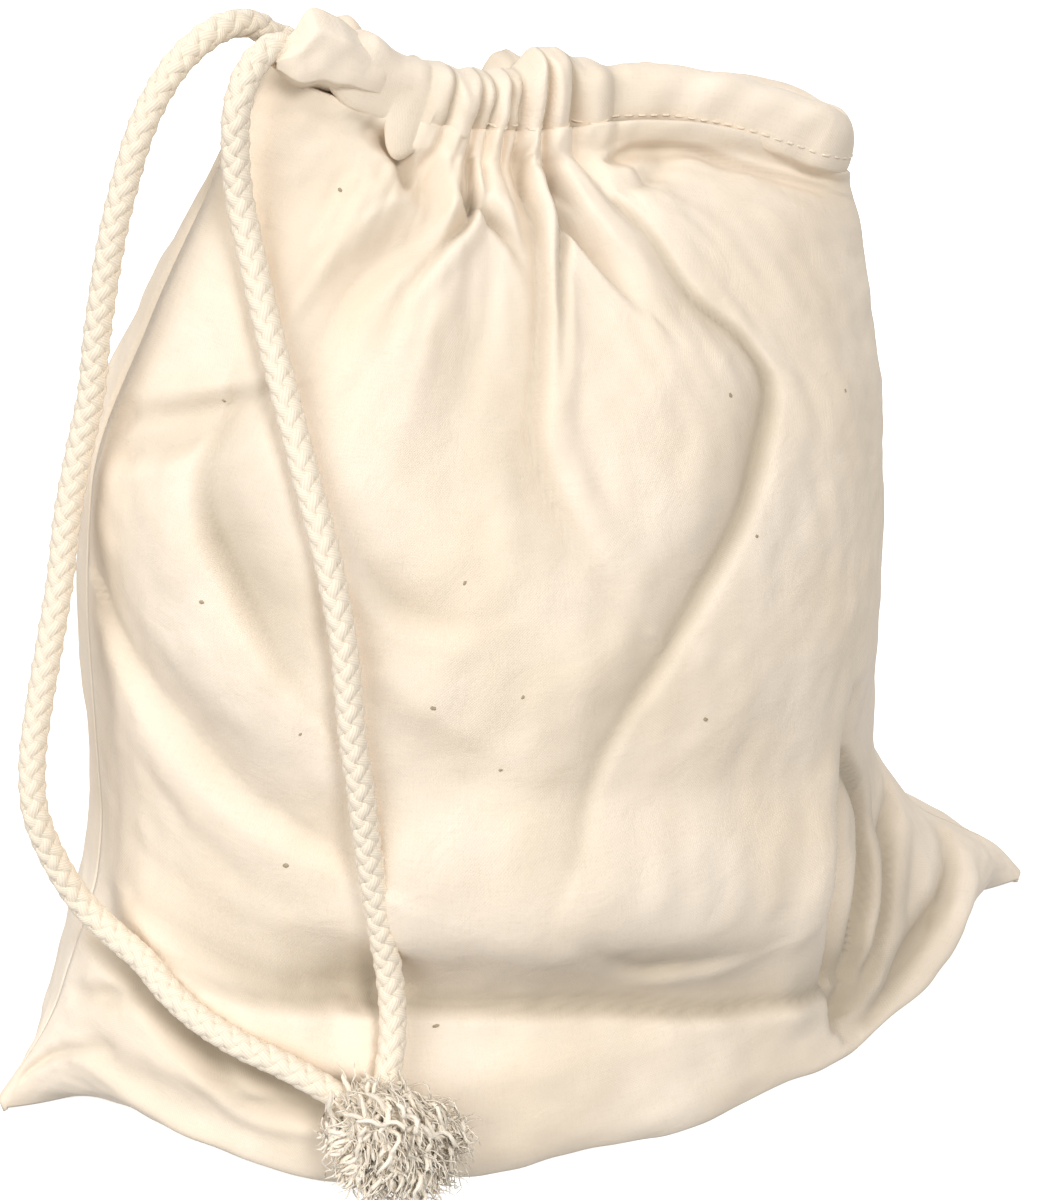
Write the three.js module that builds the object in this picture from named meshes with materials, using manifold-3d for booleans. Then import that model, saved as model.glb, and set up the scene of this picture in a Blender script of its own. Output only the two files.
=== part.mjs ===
import * as THREE from 'three';
import { mergeVertices } from 'three/addons/utils/BufferGeometryUtils.js';
import Module from 'manifold-3d';

// All lengths are millimetres. X runs along the bottom seam, the front faces -Y, Z is up.

// Cloth and clearances
const CLOTH = 1.6;
const GAP = 0.3;

// The standing bag
const SEAM_HALF = 119;
const RISE = 218;
const BULGE = 64;
const FOOTPRINT_SHIFT = -5.7;

// The drawn mouth and its casing
const MOUTH_SLIT = 5;
const CORD = 6;
const CORD_PLAY = 0.6;
const CASING_WALL = 1.1;
const CASING_THICK = CORD + 2 * (CORD_PLAY + CASING_WALL);
const CASING_TALL = 10;
const CASING_OFFSET = (MOUTH_SLIT + CASING_THICK) / 2;
const CASING_TURN = 9.6;
const CASING_LIFT = 1.1;
const CASING_SQUARENESS = 0.8;
const CASING_END_REACH = -0.93;

// Level sections from the bottom seam to the casing stitch line. `up` is the share of the
// cloth height. X columns are shares of SEAM_HALF, Z columns of RISE, depths and lean of BULGE.
// `round` is 0.5 for an ellipse and 1 for a lens, `flat` the middle share with no lift to the
// seams, and `skew` how much deeper the front is at its left end than in the middle.
const SECTION_COLUMNS = [
  'up', 'leftX', 'leftZ', 'rightX', 'rightZ', 'lean',
  'frontY', 'frontZ', 'backY', 'backZ', 'round', 'flat', 'skew'];
const SECTIONS = [
  [0.00, -1.00, 0.00, 1.00, 0.00, 0.00, 0.00, 0.00, 0.00, 0.00, 1.00, 0.60, 0.00],
  [0.08, -0.93, 0.05, 0.94, 0.04, 0.00, 0.56, 0.00, 0.52, 0.00, 0.66, 0.55, 0.10],
  [0.15, -0.88, 0.09, 0.86, 0.07, 0.02, 0.93, 0.00, 0.87, 0.00, 0.50, 0.50, 0.10],
  [0.19, -0.85, 0.13, 0.78, 0.10, 0.03, 0.97, 0.03, 0.93, 0.04, 0.48, 0.40, 0.10],
  [0.24, -0.81, 0.18, 0.71, 0.15, 0.05, 0.97, 0.09, 0.94, 0.09, 0.47, 0.30, 0.08],
  [0.28, -0.78, 0.22, 0.66, 0.20, 0.08, 0.94, 0.14, 0.93, 0.15, 0.47, 0.20, 0.05],
  [0.33, -0.76, 0.29, 0.64, 0.26, 0.12, 0.95, 0.21, 0.94, 0.24, 0.47, 0.10, 0.00],
  [0.45, -0.76, 0.46, 0.64, 0.44, 0.15, 1.00, 0.39, 0.97, 0.40, 0.47, 0.00, 0.00],
  [0.58, -0.74, 0.61, 0.64, 0.57, 0.15, 0.92, 0.55, 0.92, 0.55, 0.48, 0.00, 0.00],
  [0.72, -0.63, 0.76, 0.63, 0.68, 0.15, 0.69, 0.72, 0.74, 0.72, 0.50, 0.00, 0.00],
  [0.86, -0.51, 0.89, 0.62, 0.75, 0.14, 0.38, 0.85, 0.43, 0.82, 0.48, 0.00, 0.00],
  [0.95, -0.45, 0.96, 0.60, 0.79, 0.13, 0.20, 0.90, 0.22, 0.86, 0.40, 0.00, 0.00],
  [1.00, -0.42, 0.99, 0.59, 0.81, 0.13, 0.15, 0.93, 0.15, 0.89, 0.22, 0.00, 0.00]];

// Where the cloth share across meets the drawn mouth: smooth, then gathered, then smooth
const MOUTH_ACROSS = [0, 0.12, 0.80, 1];
const MOUTH_REACH = [-1, -0.72, 0.10, 1];

// Valleys between the pleats of the gathered stretch, and how far each pleat stands out
const PLEAT_VALLEYS = [0.250, 0.320, 0.390, 0.450, 0.500, 0.555, 0.610, 0.680, 0.765];
const PLEAT_HEIGHTS = [2.6, 3.4, 2.4, 3.0, 2.6, 4.0, 4.4, 2.8];
const PLEAT_FADE = 0.80;

// How far the casing top stands up: the tucked left corner, the ruffle right of the gathers
const CASING_CREST_REACH = [-1, -0.86, -0.68, -0.12, 0.02, 0.16, 1];
const CASING_CRESTS = [2, 5, 0, 0, 5, 0, 0];

// Routes of the two loose cord ends, from the casing mouth to the frayed knot
const FRONT_CORD_ROUTE = [
  [-46.6, 1.4, 221.5], [-52.5, 0.2, 223.5], [-58.0, -2.5, 221.0], [-61.5, -4.5, 214.5],
  [-62.3, -5.0, 206.0], [-62.2, -6.0, 197.5], [-61.6, -9.5, 188.5], [-61.2, -14.2, 179.5],
  [-60.8, -19.4, 171.2], [-60.3, -24.8, 163.0], [-59.4, -32.6, 150.0], [-58.3, -38.8, 138.4],
  [-57.6, -42.2, 129.4], [-57.0, -44.8, 120.0], [-57.0, -46.7, 110.4], [-56.8, -48.3, 100.2],
  [-56.0, -49.2, 91.5], [-55.2, -49.5, 81.5], [-54.0, -49.8, 70.0], [-52.6, -50.0, 58.8],
  [-51.4, -50.6, 49.4], [-51.4, -52.6, 40.6], [-52.6, -55.0, 33.8], [-55.0, -58.0, 27.2]];
const SIDE_CORD_ROUTE = [
  [-46.6, 15.2, 219.5], [-52.0, 13.6, 223.6], [-58.0, 11.0, 225.0], [-64.3, 8.6, 223.4],
  [-69.6, 7.2, 219.8], [-74.0, 6.2, 214.6], [-77.6, 5.2, 208.6], [-80.8, 4.6, 200.4],
  [-83.9, 4.2, 190.6], [-86.4, 4.0, 179.8], [-88.4, 4.0, 169.4], [-90.3, 4.0, 157.0],
  [-93.2, 4.0, 146.0], [-96.6, 3.0, 133.2], [-99.4, 1.0, 120.4], [-103.0, -1.4, 107.6],
  [-106.6, -3.6, 95.0], [-109.0, -5.4, 84.6], [-109.6, -7.6, 74.4], [-106.4, -9.4, 62.6],
  [-102.0, -12.0, 53.4], [-97.4, -17.0, 48.2], [-93.4, -23.0, 44.8], [-90.6, -29.4, 41.0],
  [-86.2, -36.4, 37.2], [-80.2, -42.8, 33.8], [-72.9, -48.4, 30.4], [-62.6, -56.4, 24.4]];
const CORD_SIDES = 8;

// The frayed knot: a round head with locks of loosened yarn, [x, y, z] of each lock's tip
const KNOT_CENTRE = [-57, -61, 21];
const KNOT_RADII = [8, 6, 6.5];
const LOCK_TIPS = [
  [-65.0, -59.0, 12.0], [-62.5, -62.0, 5.0], [-58.5, -66.0, 1.6], [-53.5, -67.5, 1.6],
  [-48.5, -68.5, 1.6], [-44.0, -67.5, 1.6], [-40.5, -66.5, 4.5], [-38.5, -65.5, 9.5],
  [-41.0, -66.0, 14.5], [-46.5, -68.0, 9.0], [-54.0, -68.5, 9.5]];
const LOCK_ROOT_RADIUS = 3.4;
const LOCK_TIP_RADIUS = 1.5;

// Folds of the front, in cloth shares across and up; depth is in millimetres into the bag
// at the start, middle and end of the path, width is half the valley in flat cloth
const FRONT_FOLDS = [
  { name: 'base crease', path: [[0.08, 0.30], [0.32, 0.295], [0.5, 0.28], [0.68, 0.22]],
    depth: [2, 6, 4], width: 15 },
  { name: 'long crease', path: [[0.73, 0.86], [0.72, 0.74], [0.62, 0.60], [0.465, 0.41]],
    depth: [3, 5, 2], width: 13 },
  { name: 'middle crease', path: [[0.555, 0.93], [0.54, 0.87], [0.47, 0.72], [0.52, 0.56]],
    depth: [4, 4, 1], width: 12 },
  { name: 'left gather crease', path: [[0.393, 0.92], [0.35, 0.84], [0.30, 0.79]],
    depth: [4, 5, 0], width: 11 },
  { name: 'right gather crease', path: [[0.39, 0.92], [0.44, 0.88], [0.50, 0.81]],
    depth: [3, 4, 0], width: 10 },
  { name: 'right gather valley', path: [[0.61, 0.92], [0.60, 0.85], [0.63, 0.77]],
    depth: [4, 6, 0], width: 15 },
  { name: 'left gather valley', path: [[0.27, 0.93], [0.32, 0.87], [0.21, 0.76]],
    depth: [4, 5, 1], width: 15 },
  { name: 'soft middle valley', path: [[0.44, 0.82], [0.40, 0.74], [0.38, 0.64]],
    depth: [2, 4, 1], width: 17 },
  { name: 'elbow dent', path: [[0.12, 0.66], [0.19, 0.63], [0.28, 0.52]],
    depth: [3, 7, 2], width: 22 },
  { name: 'shoulder dent', path: [[0.02, 0.64], [0.09, 0.67], [0.17, 0.71]],
    depth: [2, 3, 1], width: 14 },
  { name: 'slanting crease', path: [[0.03, 0.46], [0.13, 0.42], [0.30, 0.385]],
    depth: [3, 6, 2], width: 18 },
  { name: 'smile crease', path: [[0.49, 0.33], [0.54, 0.30], [0.62, 0.30]],
    depth: [1, 3, 1], width: 9 },
  { name: 'centre fold', path: [[0.30, 0.61], [0.35, 0.575], [0.41, 0.573]],
    depth: [1, 3, 0], width: 12 },
  { name: 'ear pleat beside the body', path: [[0.79, 0.36], [0.815, 0.29], [0.72, 0.20]],
    depth: [3, 5, 2], width: 11 },
  { name: 'middle ear pleat', path: [[0.89, 0.27], [0.83, 0.245], [0.74, 0.195]],
    depth: [2, 4, 1], width: 8 },
  { name: 'outer ear pleat', path: [[0.95, 0.185], [0.87, 0.165], [0.77, 0.16]],
    depth: [1, 3, 1], width: 8 },
  { name: 'left ear fold', path: [[0.04, 0.19], [0.13, 0.225], [0.30, 0.20]],
    depth: [2, 3, 1], width: 9 },
  { name: 'strip under the casing', path: [[0.77, 0.94], [0.85, 0.96], [0.95, 0.95]],
    depth: [2, 3, 1], width: 9 },
  { name: 'tongue pocket', path: [[0.12, 0.97], [0.20, 0.95], [0.25, 0.93]],
    depth: [1, 3, 2], width: 9 }];

const BACK_FOLDS = [
  { name: 'back base crease', path: [[0.15, 0.29], [0.5, 0.28], [0.85, 0.28]],
    depth: [3, 5, 3], width: 16 },
  { name: 'back left valley', path: [[0.32, 0.93], [0.27, 0.80], [0.20, 0.60]],
    depth: [4, 6, 1], width: 18 },
  { name: 'back middle valley', path: [[0.50, 0.93], [0.50, 0.78], [0.44, 0.55]],
    depth: [4, 6, 1], width: 18 },
  { name: 'back right valley', path: [[0.66, 0.93], [0.72, 0.80], [0.78, 0.62]],
    depth: [4, 6, 1], width: 18 }];

// Cloth shares at which the panels are divided
const ROWS_UP = [
  0, 0.06, 0.11, 0.15, 0.175, 0.20, 0.225, 0.25, 0.28, 0.31, 0.35, 0.40,
  0.46, 0.52, 0.58, 0.64, 0.70, 0.76, 0.82, 0.87, 0.91, 0.955, 1];
const FLAT_WIDTH = 254;
const FLAT_HEIGHT = 290;

const smoothStep = (from, to, value) => {
  const share = THREE.MathUtils.clamp((value - from) / (to - from), 0, 1);
  return share * share * (3 - 2 * share);
};

/** Curve through hand-picked rows that never overshoots between two of them. */
function throughRows(keys, values, key) {
  const last = keys.length - 1;
  let index = 0;
  while (index < last - 1 && key > keys[index + 1]) index += 1;
  const slope = (i) => (values[i + 1] - values[i]) / (keys[i + 1] - keys[i]);
  const tangent = (i) => {
    if (i === 0) return slope(0);
    if (i === last) return slope(last - 1);
    const before = slope(i - 1);
    const after = slope(i);
    return before * after <= 0 ? 0 : (2 * before * after) / (before + after);
  };
  const span = keys[index + 1] - keys[index];
  const s = THREE.MathUtils.clamp((key - keys[index]) / span, 0, 1);
  const s2 = s * s;
  const s3 = s2 * s;
  return (2 * s3 - 3 * s2 + 1) * values[index]
    + (s3 - 2 * s2 + s) * span * tangent(index)
    + (3 * s2 - 2 * s3) * values[index + 1]
    + (s3 - s2) * span * tangent(index + 1);
}

const sectionKeys = SECTIONS.map((row) => row[0]);

function sectionAt(up) {
  const section = {};
  SECTION_COLUMNS.forEach((name, column) => {
    section[name] = throughRows(sectionKeys, SECTIONS.map((row) => row[column]), up);
  });
  return section;
}

/** Place across the section, -1 at the left seam and 1 at the right one. */
function reachAt(across, up) {
  const even = -Math.cos(Math.PI * across);
  const drawn = throughRows(MOUTH_ACROSS, MOUTH_REACH, across);
  return THREE.MathUtils.lerp(even, drawn, smoothStep(0.55, 1, up));
}

/** Point of the unfolded inner skin; side is -1 for the front and 1 for the back. */
function skinAtReach(reach, up, side) {
  const row = sectionAt(up);
  const depth = side < 0 ? row.frontY * (1 - row.skew * reach) : row.backY;
  const middleZ = side < 0 ? row.frontZ : row.backZ;
  const lift = (share) => Math.max((share - row.flat) / (1 - row.flat), 0) ** 2;
  const left = lift(-reach);
  const right = lift(reach);
  const fullness = Math.max(1 - reach * reach, 0) ** row.round;
  return new THREE.Vector3(
    SEAM_HALF * ((row.leftX + row.rightX) / 2 + reach * (row.rightX - row.leftX) / 2),
    BULGE * row.lean + side * (GAP / 2 + BULGE * depth * fullness),
    CLOTH + RISE * (row.leftZ * left + row.rightZ * right + middleZ * (1 - left - right)));
}

const skin = (across, up, side) => skinAtReach(reachAt(across, up), up, side);

/** Unit vector out of the bag at a place on the unfolded skin. */
function outwardAt(across, up, side) {
  const step = 0.012;
  const left = Math.max(across - step, 0);
  const right = Math.min(across + step, 1);
  const below = Math.max(up - step, 0);
  const above = Math.min(up + step, 1);
  const alongX = skin(right, up, side).sub(skin(left, up, side));
  const alongUp = skin(across, above, side).sub(skin(across, below, side));
  return alongX.cross(alongUp).multiplyScalar(-side).normalize();
}

/** Distance in flat cloth from a place to a fold's path, and the share along the path. */
function nearestOnPath(path, across, up) {
  const place = new THREE.Vector2(across * FLAT_WIDTH, up * FLAT_HEIGHT);
  const corners = path.map(([x, y]) => new THREE.Vector2(x * FLAT_WIDTH, y * FLAT_HEIGHT));
  const best = { distance: Infinity, share: 0 };
  for (let i = 0; i + 1 < corners.length; i += 1) {
    const leg = corners[i + 1].clone().sub(corners[i]);
    const along = THREE.MathUtils.clamp(
      place.clone().sub(corners[i]).dot(leg) / leg.lengthSq(), 0, 1);
    const distance = corners[i].clone().addScaledVector(leg, along).distanceTo(place);
    if (distance < best.distance) {
      best.distance = distance;
      best.share = (i + along) / (corners.length - 1);
    }
  }
  return best;
}

/** How far the folds press the cloth in at a place. */
function foldDepth(folds, across, up) {
  let depth = 0;
  for (const fold of folds) {
    const { distance, share } = nearestOnPath(fold.path, across, up);
    const bell = Math.max(1 - (distance / fold.width) ** 2, 0) ** 2;
    depth += bell * throughRows([0, 0.5, 1], fold.depth, share);
  }
  return depth;
}

/** How far the pleats of the gathered mouth stand out at a place. */
function pleatHeight(across, up) {
  const fade = smoothStep(PLEAT_FADE, 1, up);
  for (let i = 0; i < PLEAT_HEIGHTS.length; i += 1) {
    const from = PLEAT_VALLEYS[i];
    const to = PLEAT_VALLEYS[i + 1];
    if (across > from && across < to) {
      return fade * PLEAT_HEIGHTS[i] * Math.sin(Math.PI * (across - from) / (to - from)) ** 2;
    }
  }
  return 0;
}

/** Closed solid between an outer and an inner grid of points, [column][row]. */
function sheetSolid(outer, inner, flip) {
  const columns = outer.length;
  const rows = outer[0].length;
  const positions = [];
  for (const grid of [outer, inner]) {
    for (const column of grid) {
      for (const point of column) positions.push(point.x, point.y, point.z);
    }
  }
  const out = (i, j) => i * rows + j;
  const into = (i, j) => (columns + i) * rows + j;
  const triangles = [];
  const quad = (a, b, c, d) => {
    if (flip) triangles.push(a, c, b, a, d, c);
    else triangles.push(a, b, c, a, c, d);
  };
  for (let i = 0; i + 1 < columns; i += 1) {
    for (let j = 0; j + 1 < rows; j += 1) {
      quad(out(i, j), out(i + 1, j), out(i + 1, j + 1), out(i, j + 1));
      quad(into(i, j), into(i, j + 1), into(i + 1, j + 1), into(i + 1, j));
    }
    quad(out(i, 0), into(i, 0), into(i + 1, 0), out(i + 1, 0));
    quad(out(i, rows - 1), out(i + 1, rows - 1), into(i + 1, rows - 1), into(i, rows - 1));
  }
  for (let j = 0; j + 1 < rows; j += 1) {
    quad(out(0, j), out(0, j + 1), into(0, j + 1), into(0, j));
    const end = columns - 1;
    quad(out(end, j), into(end, j), into(end, j + 1), out(end, j + 1));
  }
  const geometry = new THREE.BufferGeometry();
  geometry.setAttribute('position', new THREE.Float32BufferAttribute(positions, 3));
  geometry.setIndex(triangles);
  geometry.computeVertexNormals();
  return geometry;
}

/** Inner and outer point of the folded cloth at one place. */
function clothAt(across, up, side, folds) {
  const outward = outwardAt(across, up, side);
  const inner = skin(across, up, side);
  const push = pleatHeight(across, up) - foldDepth(folds, across, up);
  inner.addScaledVector(outward, push);
  const seamY = BULGE * sectionAt(up).lean + side * GAP / 2;
  inner.y = side < 0 ? Math.min(inner.y, seamY) : Math.max(inner.y, seamY);
  inner.z = Math.max(inner.z, CLOTH);
  const outer = inner.clone().addScaledVector(outward, CLOTH);
  outer.z = Math.max(outer.z, 0);
  return { inner, outer };
}

function panel(side, columns, folds) {
  const outer = [];
  const inner = [];
  for (const across of columns) {
    const places = ROWS_UP.map((up) => clothAt(across, up, side, folds));
    outer.push(places.map((place) => place.outer));
    inner.push(places.map((place) => place.inner));
  }
  return sheetSolid(outer, inner, side > 0);
}

function evenSteps(from, to, count) {
  return Array.from({ length: count }, (_, i) => from + (to - from) * i / count);
}

/** Columns of the front: three to a pleat, wider apart on the smooth stretches. */
function frontColumns() {
  const columns = [0, 0.02, ...evenSteps(0.05, PLEAT_VALLEYS[0], 5)];
  for (let i = 0; i < PLEAT_HEIGHTS.length; i += 1) {
    columns.push(...evenSteps(PLEAT_VALLEYS[i], PLEAT_VALLEYS[i + 1], 3));
  }
  columns.push(...evenSteps(PLEAT_VALLEYS.at(-1), 0.97, 6), 0.97, 1);
  return columns;
}

const backColumns = () => [0, 0.02, ...evenSteps(0.05, 0.95, 24), 0.95, 0.98, 1];

function clothMaterial(colour) {
  return new THREE.MeshStandardMaterial({ color: colour, roughness: 0.95, metalness: 0 });
}

function named(name, geometry, material) {
  const mesh = new THREE.Mesh(geometry, material);
  mesh.name = name;
  return mesh;
}

/** Reaches and pleats at which the casing is divided, once round from left to left. */
function casingStations() {
  const top = sectionAt(1);
  const middleX = SEAM_HALF * (top.leftX + top.rightX) / 2;
  const halfWidth = SEAM_HALF * (top.rightX - top.leftX) / 2;
  const seamY = BULGE * top.lean;
  const turnX = middleX + halfWidth + CLOTH - CASING_THICK / 2 - CASING_TURN;
  const turnReach = (turnX - middleX) / halfWidth;
  const heightAt = (reach, side) => skinAtReach(Math.min(reach, 1), 1, side).z;
  const stations = [];
  const straight = (reach, side, pleat) => {
    const x = middleX + halfWidth * reach;
    const offset = THREE.MathUtils.lerp(CASING_OFFSET, CASING_TURN, smoothStep(0.2, 0.8, reach));
    const centre = new THREE.Vector3(x, seamY + side * offset, heightAt(reach, side));
    stations.push({ centre, pleat, crest: crestAt(reach) });
  };
  const smooth = [CASING_END_REACH, -0.86, -0.78, -0.70, -0.64];
  for (const reach of smooth) straight(reach, -1, 0);
  for (let i = 0; i < PLEAT_HEIGHTS.length; i += 1) {
    for (const across of evenSteps(PLEAT_VALLEYS[i], PLEAT_VALLEYS[i + 1], 3)) {
      straight(reachAt(across, 1), -1, pleatHeight(across, 1));
    }
  }
  const gatherEnd = reachAt(PLEAT_VALLEYS.at(-1), 1);
  for (const reach of evenSteps(gatherEnd, turnReach, 6)) straight(reach, -1, 0);
  const turnSteps = 8;
  for (let i = 0; i <= turnSteps; i += 1) {
    const angle = Math.PI * i / turnSteps;
    const x = turnX + CASING_TURN * Math.sin(angle);
    const reach = (x - middleX) / halfWidth;
    const backShare = (1 - Math.cos(angle)) / 2;
    const z = THREE.MathUtils.lerp(heightAt(reach, -1), heightAt(reach, 1), backShare);
    const centre = new THREE.Vector3(x, seamY - CASING_TURN * Math.cos(angle), z);
    stations.push({ centre, pleat: 0, crest: 0 });
  }
  const backSteps = 16;
  for (let i = 1; i <= backSteps; i += 1) {
    const reach = THREE.MathUtils.lerp(turnReach, CASING_END_REACH, i / backSteps);
    straight(reach, 1, i % 2 === 0 && reach > -0.6 && reach < 0.4 ? 2.5 : 0);
  }
  return stations;
}

const crestAt = (reach) => throughRows(CASING_CREST_REACH, CASING_CRESTS, reach);

/** Direction, sideways-out and upward unit vectors at every station of a line. */
function framesAlong(points) {
  return points.map((point, i) => {
    const before = points[Math.max(i - 1, 0)];
    const after = points[Math.min(i + 1, points.length - 1)];
    const ahead = after.clone().sub(before).normalize();
    const sideways = ahead.clone().cross(new THREE.Vector3(0, 0, 1)).normalize();
    return { ahead, sideways, upward: sideways.clone().cross(ahead) };
  });
}

/** Closed solid of a hollow band, from rings of outer and inner points. */
function hollowBand(outerRings, innerRings) {
  const rings = outerRings.length;
  const sides = outerRings[0].length;
  const positions = [];
  for (const ring of [...outerRings, ...innerRings]) {
    for (const point of ring) positions.push(point.x, point.y, point.z);
  }
  const out = (i, k) => i * sides + (k % sides);
  const into = (i, k) => (rings + i) * sides + (k % sides);
  const triangles = [];
  const quad = (a, b, c, d) => triangles.push(a, b, c, a, c, d);
  for (let k = 0; k < sides; k += 1) {
    for (let i = 0; i + 1 < rings; i += 1) {
      quad(out(i, k), out(i + 1, k), out(i + 1, k + 1), out(i, k + 1));
      quad(into(i, k), into(i, k + 1), into(i + 1, k + 1), into(i + 1, k));
    }
    const end = rings - 1;
    quad(out(0, k), out(0, k + 1), into(0, k + 1), into(0, k));
    quad(out(end, k), into(end, k), into(end, k + 1), out(end, k + 1));
  }
  const geometry = new THREE.BufferGeometry();
  geometry.setAttribute('position', new THREE.Float32BufferAttribute(positions, 3));
  geometry.setIndex(triangles);
  geometry.computeVertexNormals();
  return geometry;
}

/** One point of a casing section: half sizes, and how far the pleat and crest carry it. */
function casingPoint(centre, frame, angle, halfThick, halfTall, pleat, crest) {
  const squared = (value) => Math.sign(value) * Math.abs(value) ** CASING_SQUARENESS;
  const acrossShare = squared(Math.cos(angle));
  const upShare = squared(Math.sin(angle));
  const out = halfThick * acrossShare + pleat * Math.max(acrossShare, 0);
  const up = halfTall * upShare + (crest + 0.3 * pleat) * Math.max(upShare, 0);
  return centre.clone().addScaledVector(frame.sideways, out).addScaledVector(frame.upward, up);
}

/** The casing and the middle line of the cord it holds. */
function casing() {
  const stations = casingStations();
  const frames = framesAlong(stations.map((station) => station.centre));
  const middles = stations.map((station, i) => station.centre.clone()
    .addScaledVector(frames[i].upward, CASING_TALL / 2 + CASING_LIFT));
  const outerRings = [];
  const innerRings = [];
  const sides = 8;
  stations.forEach(({ pleat, crest }, i) => {
    const angles = Array.from({ length: sides }, (_, k) => 2 * Math.PI * k / sides);
    outerRings.push(angles.map((angle) => casingPoint(
      middles[i], frames[i], angle, CASING_THICK / 2, CASING_TALL / 2, pleat, crest)));
    innerRings.push(angles.map((angle) => casingPoint(
      middles[i], frames[i], angle, CASING_THICK / 2 - CASING_WALL,
      CASING_TALL / 2 - CASING_WALL, 0.7 * pleat, 0.8 * crest)));
  });
  return { geometry: hollowBand(outerRings, innerRings), line: middles };
}

/** Round cord along a line of points. */
function cord(points, steps) {
  const section = new THREE.Shape(Array.from({ length: CORD_SIDES }, (_, i) => {
    const angle = 2 * Math.PI * i / CORD_SIDES;
    return new THREE.Vector2(CORD / 2 * Math.cos(angle), CORD / 2 * Math.sin(angle));
  }));
  const extrudePath = new THREE.CatmullRomCurve3(points, false, 'centripetal');
  return new THREE.ExtrudeGeometry(section, { steps, bevelEnabled: false, extrudePath });
}

const cordAlong = (route, steps) => cord(
  route.map((point) => new THREE.Vector3(...point)), steps);

const manifoldKit = await Module();
manifoldKit.setup();

function toManifold(geometry) {
  const bare = geometry.clone();
  bare.deleteAttribute('normal');
  bare.deleteAttribute('uv');
  const merged = mergeVertices(bare, 1e-4);
  return new manifoldKit.Manifold(new manifoldKit.Mesh({
    numProp: 3,
    vertProperties: new Float32Array(merged.attributes.position.array),
    triVerts: new Uint32Array(merged.index.array)
  }));
}

function fromManifold(manifold) {
  const mesh = manifold.getMesh();
  const geometry = new THREE.BufferGeometry();
  geometry.setAttribute('position', new THREE.BufferAttribute(mesh.vertProperties, 3));
  geometry.setIndex(new THREE.BufferAttribute(mesh.triVerts, 1));
  geometry.computeVertexNormals();
  return geometry;
}

/** The cords' frayed end: a round head with tapering locks joined into it. */
function frayedKnot() {
  const centre = new THREE.Vector3(...KNOT_CENTRE);
  const head = new THREE.SphereGeometry(1, 12, 8);
  head.scale(...KNOT_RADII);
  head.translate(...KNOT_CENTRE);
  let joined = toManifold(head);
  for (const tipPlace of LOCK_TIPS) {
    const tip = new THREE.Vector3(...tipPlace);
    const root = centre.clone().lerp(tip, 0.15);
    const run = tip.clone().sub(root);
    const lock = new THREE.CylinderGeometry(LOCK_TIP_RADIUS, LOCK_ROOT_RADIUS, run.length(), 7);
    lock.applyQuaternion(new THREE.Quaternion().setFromUnitVectors(
      new THREE.Vector3(0, 1, 0), run.clone().normalize()));
    lock.translate(...root.clone().addScaledVector(run, 0.5).toArray());
    joined = joined.add(toManifold(lock));
  }
  return fromManifold(joined);
}

const cloth = clothMaterial('#f1e2cb');
const cordCotton = clothMaterial('#eedec5');
const { geometry: casingGeometry, line: heldLine } = casing();

const bag = new THREE.Group();
bag.name = 'cotton_bag';
bag.position.y = FOOTPRINT_SHIFT;
bag.add(
  named('front_panel', panel(-1, frontColumns(), FRONT_FOLDS), cloth),
  named('back_panel', panel(1, backColumns(), BACK_FOLDS), cloth.clone()),
  named('casing', casingGeometry, cloth.clone()),
  named('drawstring_in_casing', cord(heldLine, 70), cordCotton),
  named('drawstring_front', cordAlong(FRONT_CORD_ROUTE, 50), cordCotton.clone()),
  named('drawstring_side', cordAlong(SIDE_CORD_ROUTE, 62), cordCotton.clone()),
  named('frayed_knot', frayedKnot(), cordCotton.clone()));

export default bag;
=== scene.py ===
"""Cotton drawstring bag, standing on its bottom seam with its loose cord laid down its front."""

import logging
import math
from dataclasses import dataclass, field
from enum import Enum
from typing import Callable

import bmesh
import bpy
import numpy as np
from mathutils import Matrix, Vector


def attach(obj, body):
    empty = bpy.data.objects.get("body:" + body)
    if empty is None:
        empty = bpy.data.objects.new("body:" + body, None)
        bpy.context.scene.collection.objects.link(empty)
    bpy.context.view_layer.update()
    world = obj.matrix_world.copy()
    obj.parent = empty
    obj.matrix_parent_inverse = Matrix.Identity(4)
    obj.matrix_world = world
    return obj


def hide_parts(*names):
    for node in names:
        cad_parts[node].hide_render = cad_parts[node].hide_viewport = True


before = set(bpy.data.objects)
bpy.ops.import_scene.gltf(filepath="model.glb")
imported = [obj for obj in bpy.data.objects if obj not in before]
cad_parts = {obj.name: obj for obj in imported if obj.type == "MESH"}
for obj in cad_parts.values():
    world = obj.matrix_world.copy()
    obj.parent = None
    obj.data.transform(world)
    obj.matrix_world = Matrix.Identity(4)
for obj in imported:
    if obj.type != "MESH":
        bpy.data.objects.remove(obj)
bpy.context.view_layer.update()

log = logging.getLogger("cotton_bag")

MM = 0.001
Array = np.ndarray

# Gap between the grids of one piece in its UV map, in metres, so that no two threads look alike
UV_GAP = 0.013


class Side(Enum):
    """The two cloth panels, by the direction that each faces along Y."""

    FRONT = -1
    BACK = 1


class Turn(Enum):
    """The two ways that strands run round a braid."""

    RIGHT = 1
    LEFT = -1


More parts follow.
